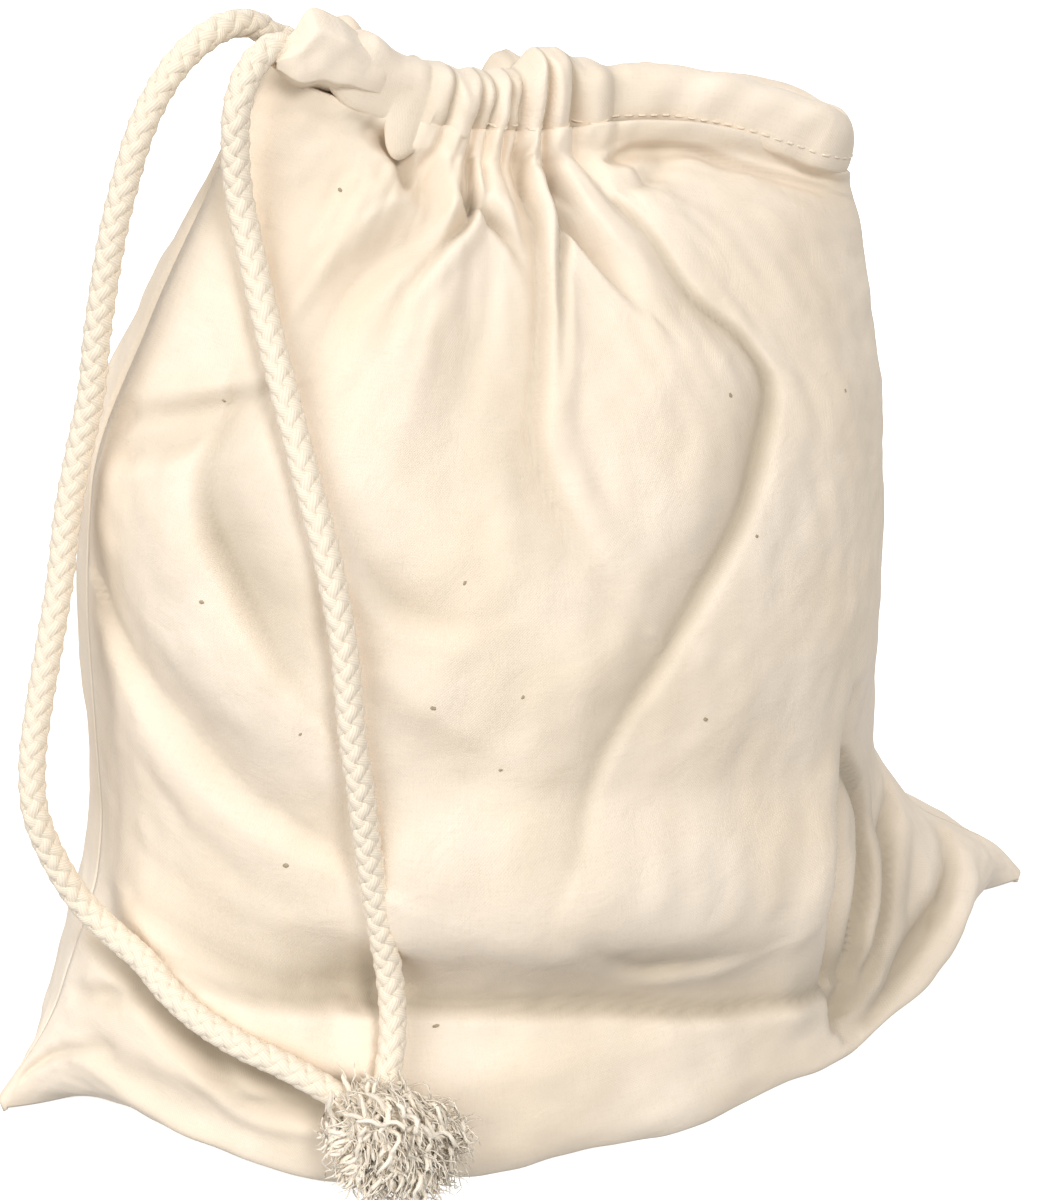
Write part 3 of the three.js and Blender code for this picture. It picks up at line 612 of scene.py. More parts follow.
# Folds of the front, placed on the photograph's own
FRONT_CREASES = (
    Crease("left base crease", ((0.16, 0.268), (0.232, 0.278), (0.318, 0.293)), (2, 3, 3), 16, 3,
           0.5, shade=0.8),
    Crease("base crease", ((0.30, 0.291), (0.40, 0.295), (0.50, 0.280), (0.572, 0.258),
                           (0.64, 0.238), (0.69, 0.219)),
           (3, 4, 3), 19, 3, 0.6, lip_left=10, lip_width=23, shade=1.25),
    Crease("long crease", ((0.70, 0.87), (0.708, 0.833), (0.71, 0.78), (0.742, 0.742),
                           (0.738, 0.705), (0.683, 0.655), (0.63, 0.607), (0.582, 0.565),
                           (0.538, 0.517), (0.498, 0.463), (0.468, 0.403)),
           (1.6, 3.4, 1.2), 3, 16, 0.8, lip_left=0.5, shade=1.05),
    Crease("left gather crease", ((0.40, 0.95), (0.40, 0.872), (0.347, 0.838), (0.318, 0.817),
                                  (0.295, 0.79)), (4, 5, 0.5), 3, 9, 0.6, lip_left=1.2,
           lip_width=5, shade=0.75),
    Crease("right gather crease", ((0.385, 0.903), (0.425, 0.878), (0.465, 0.852),
                                   (0.492, 0.815)), (4, 4.5, 0), 5, 5, 0.6, shade=0.65),
    Crease("middle crease", ((0.565, 0.953), (0.535, 0.89), (0.532, 0.863), (0.477, 0.75),
                             (0.458, 0.698), (0.465, 0.662), (0.503, 0.59), (0.53, 0.555)),
           (5, 5, 1), 3.5, 14, 0.5, lip_left=1.4, lip_width=6, shade=0.7),
    Crease("gather line", ((0.62, 0.927), (0.585, 0.887), (0.573, 0.853), (0.533, 0.802),
                           (0.487, 0.72)), (3, 3.5, 0), 4, 4, 0.6, shade=0.6),
    Crease("right gather valley", ((0.61, 0.93), (0.598, 0.897), (0.587, 0.853),
                                   (0.602, 0.822), (0.63, 0.775)), (5, 7, 1), 14, 4, 0.4,
           shade=0.75),
    Crease("left gather valley", ((0.263, 0.93), (0.315, 0.885), (0.305, 0.86), (0.252, 0.833),
                                  (0.212, 0.798), (0.195, 0.74)), (4, 6, 1.5), 12, 16, 0.3,
           shade=0.5),
    Crease("soft middle valley", ((0.432, 0.83), (0.402, 0.75), (0.393, 0.69), (0.382, 0.64)),
           (2.5, 4.5, 1), 18, 18, shade=0.45),
    Crease("elbow dent", ((0.128, 0.672), (0.145, 0.637), (0.168, 0.605), (0.195, 0.575),
                          (0.23, 0.537), (0.27, 0.493)), (1.5, 4.2, 1), 26, 4, 0.4,
           lip_right=0.8, lip_width=10, shade=1.1),
    Crease("shoulder dent", ((0.017, 0.65), (0.06, 0.668), (0.117, 0.69), (0.175, 0.712)),
           (2, 3.5, 1.5), 5, 16, 0.4, shade=0.45),
    Crease("shoulder line", ((0.033, 0.62), (0.08, 0.645), (0.12, 0.668)), (1.5, 2, 1), 6, 6,
           0.4, shade=0.3),
    Crease("slanting crease", ((0.04, 0.485), (0.075, 0.46), (0.125, 0.437), (0.193, 0.408),
                               (0.278, 0.392), (0.31, 0.386)), (2.5, 5, 1.5), 20, 5, 0.4,
           lip_right=1.2, lip_width=8, shade=0.5),
    Crease("lower left crease", ((0.08, 0.293), (0.188, 0.290), (0.262, 0.292), (0.318, 0.298)),
           (2, 3, 2), 14, 4, 0.4, shade=0.5),
    Crease("smile crease", ((0.488, 0.332), (0.528, 0.305), (0.563, 0.30), (0.623, 0.294)),
           (1, 4, 1), 12, 4, 0.5, shade=0.6),
    Crease("centre fold", ((0.308, 0.613), (0.342, 0.583), (0.367, 0.575), (0.402, 0.575)),
           (1.5, 3.5, 0.5), 14, 6, 0.4, shade=0.5),
    Crease("low soft fold", ((0.328, 0.503), (0.378, 0.467), (0.413, 0.443)), (1, 2, 0.5), 8, 8,
           shade=0.3),
    Crease("body over the right ear", ((0.782, 0.39), (0.777, 0.363), (0.768, 0.337),
                                       (0.752, 0.307), (0.737, 0.272), (0.713, 0.237),
                                       (0.687, 0.182)), (3, 7, 4), 9, 3, 0.5, lip_right=3.0,
           lip_width=12, shade=0.9),
    Crease("hollow of the right ear", ((0.80, 0.34), (0.84, 0.27), (0.80, 0.22), (0.72, 0.185)),
           (2, 3, 2), 24, 24, shade=0.95),
    Crease("inner ear pleat", ((0.795, 0.353), (0.825, 0.307), (0.81, 0.268), (0.762, 0.24),
                               (0.732, 0.213), (0.70, 0.185)), (3, 5, 3), 2.5, 5, 0.8,
           lip_left=1.8, lip_width=5, shade=1.2),
    Crease("middle ear pleat", ((0.928, 0.258), (0.87, 0.252), (0.833, 0.242), (0.788, 0.22),
                                (0.748, 0.202), (0.712, 0.185)), (2, 5, 2), 2.5, 5, 0.8,
           lip_left=1.8, lip_width=5, shade=1.1),
    Crease("outer ear pleat", ((0.958, 0.175), (0.903, 0.172), (0.86, 0.173), (0.807, 0.177),
                               (0.755, 0.173), (0.71, 0.163)), (2, 5, 2), 2.5, 7, 0.8,
           lip_left=1.5, lip_width=6, shade=1.0),
    Crease("left ear valley", ((0.02, 0.238), (0.075, 0.237), (0.118, 0.232), (0.165, 0.223),
                               (0.212, 0.222), (0.253, 0.223), (0.30, 0.226)), (7, 10, 6), 6, 7,
           0.6, lip_left=3, lip_width=14, shade=2.0),
    Crease("left ear double fold", ((0.167, 0.217), (0.192, 0.207), (0.22, 0.198),
                                    (0.253, 0.207), (0.292, 0.214)), (1, 2.5, 1.5), 3, 4, 0.6,
           lip_right=1.2, lip_width=4, shade=0.6),
    Crease("left ear dent", ((0.09, 0.155), (0.142, 0.165), (0.195, 0.173), (0.263, 0.185)),
           (1.5, 2.5, 1), 8, 8, shade=0.25),
    Crease("left ear edge fold", ((0.022, 0.048), (0.037, 0.073), (0.055, 0.13), (0.08, 0.163)),
           (1, 2, 1), 4, 5, 0.4, shade=0.35),
    Crease("left ear top line", ((0.025, 0.178), (0.06, 0.20), (0.092, 0.223)), (1.5, 2.5, 1.5),
           4, 5, 0.4, shade=0.4),
    Crease("strip under the casing", ((0.77, 0.945), (0.823, 0.963), (0.875, 0.962),
                                      (0.912, 0.94), (0.967, 0.93)), (2, 3, 1), 2.5, 10, 0.5,
           shade=0.5),
    Crease("pouch under the casing", ((0.845, 0.953), (0.832, 0.923), (0.785, 0.895),
                                      (0.735, 0.882)), (1.5, 2, 1), 5, 6, 0.4, shade=0.35),
    Crease("tongue pocket", ((0.10, 0.983), (0.16, 0.965), (0.21, 0.945), (0.245, 0.92)),
           (2, 4, 4), 7, 7, 0.4, shade=0.7))

# Folds of the back, which the photograph doesn't show
BACK_CREASES = (
    Crease("back base crease", ((0.15, 0.29), (0.5, 0.28), (0.85, 0.28)),
           (3, 5, 3), 16, 5, 0.3, lip_left=6, lip_width=22, shade=0.6),
    Crease("back left valley", ((0.32, 0.93), (0.27, 0.80), (0.20, 0.60)),
           (4, 6, 1), 16, 16, 0.3, shade=0.4),
    Crease("back middle valley", ((0.50, 0.93), (0.50, 0.78), (0.44, 0.55)),
           (4, 6, 1), 16, 16, 0.3, shade=0.4),
    Crease("back right valley", ((0.66, 0.93), (0.72, 0.80), (0.78, 0.62)),
           (4, 6, 1), 16, 16, 0.3, shade=0.4))


@dataclass
class BagForm:
    """The filled bag's surface, worked out from its level sections. All sizes are millimetres."""

    seam_half: float = 119.0
    rise: float = 218.0
    bulge: float = 64.0
    cloth: float = 1.6
    gap: float = 0.3
    footprint_shift: float = -5.7
    flat_width: float = 254.0
    flat_height: float = 290.0
    pleat_fade: float = 0.80
    pleat_fullness: float = 2.4
    deepest: float = 15.0
    seam_overlap: float = 0.03
    ripples: tuple[tuple[float, float, int], ...] = ((0.45, 34, 3), (0.15, 10, 8))
    band_from: float = 0.955
    band_calm: float = 0.75
    band_puff: float = 0.9
    right_puff: float = 2.4
    # Painted shade along the creases: the width and strength of its dark core line, the strength of
    # its valley tone, and the margin that widens the valley
    core_width: float = 2.6
    core_painted_shade: float = 0.6
    valley_painted_shade: float = 0.75
    valley_margin: float = 0.8

    def section(self, up: Array) -> dict[str, Array]:
        """Columns of the section table at cloth shares up."""
        rows = np.array(SECTIONS)
        return {name: through_rows(rows[:, 0], rows[:, i], up)
                for i, name in enumerate(SECTION_COLUMNS)}

    def reach(self, across: Array, up: Array) -> Array:
        """Place across the section, -1 at the left seam and 1 at the right one.

        Args:
            across: Shares of the cloth from the left seam to the right one.
            up: Shares of the cloth from the bottom seam to the casing.

        Returns:
            The places, from -1 to 1.
        """
        even = -np.cos(math.pi * across)
        drawn = through_rows(MOUTH_ACROSS, MOUTH_REACH, across)
        return even + (drawn - even) * smooth_step(0.55, 1, up)

    def skin_at_reach(self, reach: Array, up: Array, side: Side) -> Array:
        """Points of the unfolded inner skin.

        Args:
            reach: Places across the section, from -1 to 1.
            up: Shares of the cloth's height.
            side: The panel.

        Returns:
            Points in millimetres, in the bag's own place.
        """
        row = self.section(up)
        depth = row["front_y"] * (1 - row["skew"] * reach) if side is Side.FRONT else row["back_y"]
        middle = row["front_z"] if side is Side.FRONT else row["back_z"]
        left = np.maximum((-reach - row["flat"]) / (1 - row["flat"]), 0) ** 2
        right = np.maximum((reach - row["flat"]) / (1 - row["flat"]), 0) ** 2
        fullness = np.maximum(1 - reach * reach, 0) ** row["round"]
        return np.stack([
            self.seam_half * ((row["left_x"] + row["right_x"]) / 2
                              + reach * (row["right_x"] - row["left_x"]) / 2),
            self.bulge * row["lean"] + side.value * (self.gap / 2 + self.bulge * depth * fullness),
            self.cloth + self.rise * (row["left_z"] * left + row["right_z"] * right
                                      + middle * (1 - left - right))], axis=-1)

    def skin(self, across: Array, up: Array, side: Side) -> Array:
        """Points of the unfolded inner skin at cloth shares."""
        return self.skin_at_reach(self.reach(across, up), up, side)

    def outward(self, across: Array, up: Array, side: Side) -> Array:
        """Unit vectors out of the bag on the unfolded skin.

        Args:
            across: Shares of the cloth from the left seam to the right one.
            up: Shares of the cloth from the bottom seam to the casing.
            side: The panel.

        Returns:
            One vector a point.
        """
        step = 0.012
        along = (self.skin(np.minimum(across + step, 1), up, side)
                 - self.skin(np.maximum(across - step, 0), up, side))
        rising = (self.skin(across, np.minimum(up + step, 1), side)
                  - self.skin(across, np.maximum(up - step, 0), side))
        return unit(-side.value * np.cross(along, rising))

    def pleats(self, across: Array, up: Array) -> Array:
        """How far the pleats of the gathered mouth stand out.

        Args:
            across: Shares of the cloth from the left seam to the right one.
            up: Shares of the cloth from the bottom seam to the casing.

        Returns:
            Heights in millimetres.
        """
        height = np.zeros_like(across)
        for i, tall in enumerate(PLEAT_HEIGHTS):
            start, end = PLEAT_VALLEYS[i], PLEAT_VALLEYS[i + 1]
            share = np.clip((across - start) / (end - start), 0, 1)
            inside = (across > start) & (across < end)
            height += tall * (1 - np.abs(2 * share - 1) ** self.pleat_fullness) * inside
        return height * smooth_step(self.pleat_fade, 1, up)

    def stroke(self, crease: Crease, across: Array, up: Array) -> tuple[Array, Array, Array]:
        """Finds where points of the flat cloth lie beside a crease.

        Args:
            crease: The crease.
            across: Shares of the cloth from the left seam to the right one.
            up: Shares of the cloth from the bottom seam to the casing.

        Returns:
            Distances from its stroke, shares along it, and positive numbers on its left.
        """
        legs_a_corner = 8
        corners = np.array([(x * self.flat_width, y * self.flat_height, 0) for x, y in crease.path])
        line = curve_through(corners, legs_a_corner * (len(corners) - 1) + 1)[:, :2]
        place = np.stack([across * self.flat_width, up * self.flat_height], axis=-1)
        best = np.full(across.shape, np.inf)
        share = np.zeros_like(across)
        hand = np.zeros_like(across)
        for i in range(len(line) - 1):
            leg = line[i + 1] - line[i]
            away = place - line[i]
            along = np.clip(away @ leg / (leg @ leg), 0, 1)
            distance = np.linalg.norm(away - along[..., None] * leg, axis=-1)
            nearer = distance < best
            best = np.where(nearer, distance, best)
            share = np.where(nearer, (i + along) / (len(line) - 1), share)
            hand = np.where(nearer, leg[0] * away[..., 1] - leg[1] * away[..., 0], hand)
        return best, share, hand

    def crease_depth(self, crease: Crease, across: Array, up: Array) -> Array:
        """How far one crease presses the cloth in, which is negative where its lip rolls out.

        Args:
            crease: The crease.
            across: Shares of the cloth from the left seam to the right one.
            up: Shares of the cloth from the bottom seam to the casing.

        Returns:
            Depths in millimetres.
        """
        best, share, hand = self.stroke(crease, across, up)
        reach = np.minimum(best / np.where(hand > 0, crease.left, crease.right), 1)
        soft = (1 - reach ** 2) ** 2
        bell = soft + ((1 - reach) ** 2 - soft) * crease.crisp
        depth = through_rows((0, 0.5, 1), crease.depth, share)
        lip = np.where(hand > 0, crease.lip_left, crease.lip_right)
        ends = smooth_step(0.0, 0.14, share) * smooth_step(1.0, 0.86, share)
        roll = ends * np.maximum(1 - (best / crease.lip_width - 1) ** 2, 0) ** 2
        return bell * depth - lip * roll * depth / max(crease.depth)

    def painted_fold_shade(self, across: Array, up: Array, creases: tuple[Crease, ...]) -> Array:
        """How strongly the painted shade of deep folds lies on the cloth.

        Args:
            across: Shares of the cloth from the left seam to the right one.
            up: Shares of the cloth from the bottom seam to the casing.
            creases: The panel's folds.

        Returns:
            Strengths, from 0 to 1.
        """
        total = np.zeros_like(across)
        for crease in creases:
            best, share, hand = self.stroke(crease, across, up)
            width = np.where(hand > 0, crease.left, crease.right) + self.valley_margin
            depth = through_rows((0, 0.5, 1), crease.depth, share) / max(crease.depth)
            core = self.core_painted_shade * crease.crisp * np.maximum(1 - best / self.core_width, 0)
            valley = self.valley_painted_shade * np.maximum(1 - best / width, 0) ** 1.5
            total += crease.shade * depth * (valley + core)
        return np.clip(total, 0, 1)

    def surface(self, across: Array, up: Array, side: Side, creases: tuple[Crease, ...]) -> Array:
        """Points of the folded cloth's outer face, where it stands in the shared frame.

        Args:
            across: Shares of the cloth from the left seam to the right one.
            up: Shares of the cloth from the bottom seam to the casing.
            side: The panel.
            creases: Folds that press the panel in.

        Returns:
            Points in millimetres.
        """
        inner = self.skin(across, up, side)
        outward = self.outward(across, up, side)
        other = self.outward(across, up, Side.BACK if side is Side.FRONT else Side.FRONT)
        edge = np.minimum(across, 1 - across)
        at_seam = 1 - smooth_step(0.0, 0.022, edge)
        away = unit(outward + (unit(outward + other) - outward) * at_seam[..., None])
        flat_x, flat_y = across * self.flat_width, up * self.flat_height
        calm = smooth_step(0.0, 0.03, edge) * smooth_step(0.0, 0.10, up)
        ripple = sum(height * gentle_noise(flat_x, flat_y, wave, seed)
                     for height, wave, seed in self.ripples)
        push = self.pleats(across, up) + calm * ripple
        pressed = sum(self.crease_depth(crease, across, up) for crease in creases)
        pressed = self.deepest * np.tanh(pressed / self.deepest)
        under_band = smooth_step(self.band_from, 1.0, up)
        pressed = pressed * (1 - self.band_calm * under_band) - self.band_puff * under_band
        at_right = smooth_step(0.62, 0.86, across) * smooth_step(1, 0.97, across)
        push = push + self.right_puff * under_band * at_right
        push = (push - np.maximum(pressed, 0) * smooth_step(0.0, 0.012, edge)
                - np.minimum(pressed, 0) * smooth_step(0.01, 0.12, edge))
        points = inner + away * (push + self.cloth)[..., None]
        seam = self.bulge * self.section(up)["lean"] - side.value * self.seam_overlap
        beyond = np.minimum if side is Side.FRONT else np.maximum
        points[..., 1] = beyond(points[..., 1], seam)
        points[..., 2] = np.maximum(points[..., 2], 0.0)
        points[..., 1] += self.footprint_shift
        return points


@dataclass
class ClothPanel:
    """One of the bag's two panels, a single layer of cloth from seam to seam."""

    name: str
    node: str
    side: Side
    creases: tuple[Crease, ...]
    form: BagForm
    columns: int = 210
    rows: int = 232
    thickness: float = 1.0
    piece: bpy.types.Object = field(init=False)

    def build(self) -> None:
        """Models the panel and gives it its thickness."""
        def across(s: Array) -> Array:
            """Shares from the left seam, which the back panel counts from its own left."""
            return s if self.side is Side.FRONT else 1 - s

        def place(s: Array, t: Array, _: Array) -> Array:
            """Points of the panel's outer face."""
            return self.form.surface(across(s), t, self.side, self.creases)

        def shade(s: Array, t: Array, _: Array) -> Array:
            """Strengths of the painted shade in the folds."""
            return self.form.painted_fold_shade(across(s), t, self.creases)

        self.piece = parametric_mesh(self.name, self.columns, self.rows, place,
                                     (self.form.flat_width * MM, self.form.flat_height * MM),
                                     weld=False, shade=shade)
        give_wall(self.piece, self.thickness)

    def dress(self, cloth: bpy.types.Material) -> None:
        """Gives the panel its cloth and ties it to the frame."""
        tie(self.piece, cloth, self.node)


# Places of the seed husks that show, in shares of the cloth, with their length in millimetres
FRONT_HUSKS = ((0.122, 0.885, 1.3), (0.112, 0.693, 1.0), (0.833, 0.673, 1.2), (0.677, 0.700, 1.2),
               (0.393, 0.602, 0.9), (0.173, 0.548, 1.1), (0.367, 0.510, 1.2), (0.435, 0.518, 0.9),
               (0.582, 0.472, 1.2), (0.262, 0.470, 0.9), (0.248, 0.373, 1.3), (0.367, 0.283, 1.5),
               (0.418, 0.462, 0.9), (0.642, 0.597, 0.9))
BACK_HUSKS = ((0.15, 0.52, 1.1), (0.33, 0.80, 1.0), (0.41, 0.35, 1.3), (0.56, 0.62, 0.9),
              (0.68, 0.44, 1.2), (0.79, 0.71, 1.0), (0.86, 0.38, 1.1), (0.27, 0.24, 0.9))


@dataclass
class SeedHusks:
    """Small uneven bits of seed husk caught in one panel's weave."""

    panel: ClothPanel
    places: tuple[tuple[float, float, float], ...]
    seed: int
    half_thick: float = 0.16
    piece: bpy.types.Object = field(init=False)

    def build(self) -> None:
        """Models each husk as a low irregular scale that lies in the cloth."""
        random = np.random.default_rng(self.seed)
        form, side = self.panel.form, self.panel.side
        shape = bmesh.new()
        nudges = np.array([(0, 0), (0.004, 0), (0, 0.004)])
        for across, up, size in self.places:
            shares = np.array((across, up)) + nudges
            points = form.surface(shares[:, 0], shares[:, 1], side, self.panel.creases)
            along, rising = unit(points[1] - points[0]), unit(points[2] - points[0])
            out = unit(np.cross(along, rising)) * side.value
            turn = random.uniform(0, math.pi)
            long_way = along * math.cos(turn) + rising * math.sin(turn)
            wide_way = np.cross(out, long_way)
            laid = Matrix([
                (long_way[k] * size / 2, wide_way[k] * size * random.uniform(0.28, 0.4),
                 out[k] * self.half_thick, points[0][k]) for k in range(3)] + [(0, 0, 0, 1)])
            made = bmesh.ops.create_icosphere(shape, subdivisions=2, radius=1.0)["verts"]
            for vertex in made:
                vertex.co *= 1 + random.uniform(-0.14, 0.14)
            bmesh.ops.transform(shape, matrix=Matrix.Scale(MM, 4) @ laid, verts=made)
        bmesh.ops.recalc_face_normals(shape, faces=shape.faces)
        mesh = bpy.data.meshes.new(self.panel.name + "_seed_husks")
        shape.to_mesh(mesh)
        shape.free()
        mesh.polygons.foreach_set("use_smooth", [True] * len(mesh.polygons))
        self.piece = add_object(mesh.name, mesh)

    def dress(self, husk: bpy.types.Material) -> None:
        """Gives the husks their finish and ties them to the frame."""
        tie(self.piece, husk)


@dataclass
class Casing:
    """The hemmed band round the mouth that holds the drawstring."""

    form: BagForm
    cord: float = 6.0
    wall: float = 1.1
    play: float = 0.6
    tall: float = 12.2
    cad_tall: float = 10.0
    mouth_slit: float = 5.0
    turn: float = 9.6
    squareness: float = 0.10
    end_taper: float = 9.0
    end_half: float = 3.6
    tongue_at: float = 20.5
    tongue_half: float = 4.2
    tongue_tall: float = 8.0
    end_reach: float = -0.93
    thickness: float = 0.8
    straight_steps: int = 600
    turn_steps: int = 140
    columns: int = 900
    rows: int = 36
    piece: bpy.types.Object = field(init=False)
    line: Array = field(init=False)
    run: Array = field(init=False)
    outs: Array = field(init=False)
    ups: Array = field(init=False)
    middles: Array = field(init=False)
    pleats: Array = field(init=False)
    crests: Array = field(init=False)
    length: float = field(init=False)

    @property
    def thick(self) -> float:
        """Thickness of the band from its inner face to its outer one."""
        return self.cord + 2 * (self.play + self.wall)

    def stations(self) -> tuple[Array, Array, Array]:
        """Even stations round the mouth, from the left end of the front to that of the back.

        Returns:
            Middle points of the band's lower edge, pleat heights and crest heights.
        """
        top = {key: float(value) for key, value in self.form.section(np.array(1.0)).items()}
        middle = self.form.seam_half * (top["left_x"] + top["right_x"]) / 2
        half = self.form.seam_half * (top["right_x"] - top["left_x"]) / 2
        seam = self.form.bulge * top["lean"]
        offset = (self.mouth_slit + self.thick) / 2
        turn_x = middle + half + self.form.cloth - self.thick / 2 - self.turn
        turn_reach = (turn_x - middle) / half

        def height(reach: Array, side: Side) -> Array:
            """Heights of the panel's upper edge."""
            reach = np.minimum(reach, 1)
            return self.form.skin_at_reach(reach, np.ones_like(reach), side)[..., 2]

        def straight(reach: Array, side: Side) -> Array:
            """Points of the run along one panel, which widens towards the turn."""
            away = offset + (self.turn - offset) * smooth_step(0.2, 0.8, reach)
            return np.stack([middle + half * reach, seam + side.value * away,
                             height(reach, side)], axis=-1)

        across = np.linspace(0, 1, 4000)
        reach_of = self.form.reach(across, np.ones_like(across))
        front_reach = np.linspace(self.end_reach, turn_reach, self.straight_steps)
        front_across = np.interp(front_reach, reach_of, across)
        angle = np.linspace(0, math.pi, self.turn_steps)
        turn_points_x = turn_x + self.turn * np.sin(angle)
        turn_reaches = (turn_points_x - middle) / half
        share = (1 - np.cos(angle)) / 2
        turn_points = np.stack([
            turn_points_x, seam - self.turn * np.cos(angle),
            height(turn_reaches, Side.FRONT) * (1 - share)
            + height(turn_reaches, Side.BACK) * share], axis=-1)
        back_reach = np.linspace(turn_reach, self.end_reach, self.straight_steps)
        points = np.concatenate([straight(front_reach, Side.FRONT), turn_points[1:-1],
                                 straight(back_reach, Side.BACK)])
        front_pleats = self.form.pleats(front_across, np.ones_like(front_across))
        back_wave = (np.clip((0.4 - back_reach) / 0.1, 0, 1)
                     * np.clip((back_reach + 0.6) / 0.1, 0, 1))
        pleat_reach = 0.095
        back_pleats = back_wave * np.abs(np.sin(math.pi * back_reach / pleat_reach)) ** 1.3 * (
            1.5 + 0.8 * np.sin(23 * back_reach))
        plain_turn = np.zeros(self.turn_steps - 2)
        pleats = np.concatenate([front_pleats, plain_turn, back_pleats])
        crests = np.concatenate([through_rows(CREST_REACH, CREST_HEIGHTS, front_reach), plain_turn,
                                 through_rows(CREST_REACH, CREST_HEIGHTS, back_reach)])
        return points, pleats, crests

    def prepare(self) -> None:
        """Works out the line and frames of the band, and the middle line of the cord in it."""
        points, self.pleats, self.crests = self.stations()
        self.run = running_length(points)
        ahead = unit(np.gradient(points, self.run, axis=0))
        self.outs = unit(np.cross(ahead, (0.0, 0.0, 1.0)))
        self.ups = np.cross(self.outs, ahead)
        self.middles = points + self.ups * (self.cad_tall / 2 + self.wall)
        self.middles[:, 1] += self.form.footprint_shift
        self.line = curve_through(self.middles[::20], 500)[6:-6]
        self.length = self.run[-1]

    def surface(self, at: Array, t: Array) -> Array:
        """Points of the band's outer face.

        Args:
            at: Distances along the band, in millimetres.
            t: Shares of the way round its section, from the outer side over the top.

        Returns:
            Points in millimetres.
        """
        centre, out, up = [
            np.stack([np.interp(at, self.run, values[:, k]) for k in range(3)], axis=-1)
            for values in (self.middles, self.outs, self.ups)]
        pleat = np.interp(at, self.run, self.pleats)
        crest = np.interp(at, self.run, self.crests)
        angle = 2 * math.pi * t
        fuller = 1 + self.squareness * np.sin(2 * angle) ** 2
        across_share, up_share = fuller * np.cos(angle), fuller * np.sin(angle)
        hem = (np.cos(angle) > 0) & (np.sin(angle) < 0)
        across_share = np.where(hem, np.maximum(np.cos(angle), 0) ** 0.4, across_share)
        gathered = np.interp(at, self.run, np.convolve(self.pleats > 0, np.ones(61) / 61, "same"))
        rumple = (gentle_noise(at + 4 * np.cos(angle), 5 * np.sin(angle), 11, 5)
                  + 1.5 * gathered * gentle_noise(at + 3 * np.sin(angle), 5 * np.sin(angle), 7, 6))
        outer = smooth_step(-0.2, 0.7, np.cos(angle))
        upper = smooth_step(-0.2, 0.8, np.sin(angle))
        lower = smooth_step(0.1, 0.9, -np.sin(angle))
        end = smooth_step(0.0, self.end_taper, np.minimum(at, self.length - at))
        tongue = self.tongue_tall * np.maximum(
            1 - ((at - self.tongue_at) / self.tongue_half) ** 2, 0) ** 0.7
        sideways_size = ((self.end_half + (self.thick / 2 - self.end_half) * end) * across_share
                         + (pleat + 0.35 * rumple) * outer * end
                         + 0.16 * tongue * lower * outer * end)
        upward_size = ((self.end_half + (self.tall / 2 - self.end_half) * end) * up_share
                       + (crest + 0.12 * pleat + 0.3 * rumple) * upper * end
                       - tongue * lower * outer)
        return (centre + unit(out) * sideways_size[:, None]
                + unit(up) * (upward_size - (self.tall - self.cad_tall) / 2 * end)[:, None])

    def painted_pleat_shade(self, at: Array) -> Array:
        """Strength of the painted shade in the valleys between the pleats.

        Args:
            at: Distances along the band, in millimetres.

        Returns:
            Strengths, from 0 to 1.
        """
        spread = np.interp(at, self.run, np.convolve(self.pleats, np.ones(41) / 41, "same"))
        return 0.75 * np.clip(spread / 1.5, 0, 1) * np.clip(
            1 - np.interp(at, self.run, self.pleats) / 1.6, 0, 1)

    def build(self) -> None:
        """Models the band as a soft tube."""
        self.prepare()
        self.piece = parametric_mesh("casing_band", self.columns, self.rows,
                                     lambda s, t, _: self.surface(s * self.length, t),
                                     (self.length * MM, 2 * (self.thick + self.tall) * MM),
                                     shade=lambda s, t, _: self.painted_pleat_shade(s * self.length))
        give_wall(self.piece, self.thickness)

    def dress(self, cloth: bpy.types.Material) -> None:
        """Gives the band its cloth and ties it to the frame."""
        tie(self.piece, cloth, "casing")


@dataclass
class CasingFlap:
    """The loose front end of the casing, turned over the place where the cords come out."""

    columns: int = 90
    rows: int = 60
    face: float = -9.7
    puff: float = 1.2
    top_tuck: float = 4.0
    low_tuck: float = 4.6
    root_tuck: float = 3.4
    tip_tuck: float = 1.2
    ripple: float = 0.35
    thickness: float = 0.9
    piece: bpy.types.Object = field(init=False)

    def place(self, s: Array, t: Array, _: Array) -> Array:
        """Places the flap's outer face.

        Args:
            s: Shares of the way from its tip to its root.
            t: Shares of the way from its lower edge to its upper one.

        Returns:
            Points in millimetres.
        """
        x = FLAP_X[0] + (FLAP_X[-1] - FLAP_X[0]) * s
        low, top = through_rows(FLAP_X, FLAP_LOW, x), through_rows(FLAP_X, FLAP_TOP, x)
        ripple = self.ripple * gentle_noise(x, (low + (top - low) * t), 7, 17)
        y = (self.face - (self.puff + ripple) * np.sin(math.pi * t) ** 0.7
             * np.sin(math.pi * np.clip(s, 0, 1)) ** 0.6
             + self.top_tuck * smooth_step(0.72, 1.0, t) ** 2
             + self.low_tuck * smooth_step(0.24, 0.0, t)
             + self.root_tuck * smooth_step(0.35, 1.0, s)
             + self.tip_tuck * smooth_step(0.16, 0.0, s))
        edge = self.ripple * gentle_noise(x, 0 * x, 6, 23)
        return np.stack([x, y, low + (top - low) * t + edge * (1 - t)], axis=-1)

    def build(self) -> None:
        """Models the flap and gives it its thickness."""
        # The shade function lays painted shade along the flap's lower edge, where it tucks in under
        # the band
        self.piece = parametric_mesh(
            "casing_flap", self.columns, self.rows, self.place, (0.026, 0.016), weld=False,
            shade=lambda s, t, _: 0.6 * smooth_step(0.14, 0, t) * smooth_step(0.05, 0.3, s))
        give_wall(self.piece, self.thickness)

    def dress(self, cloth: bpy.types.Material) -> None:
        """Gives the flap its cloth and ties it to the frame."""
        tie(self.piece, cloth)


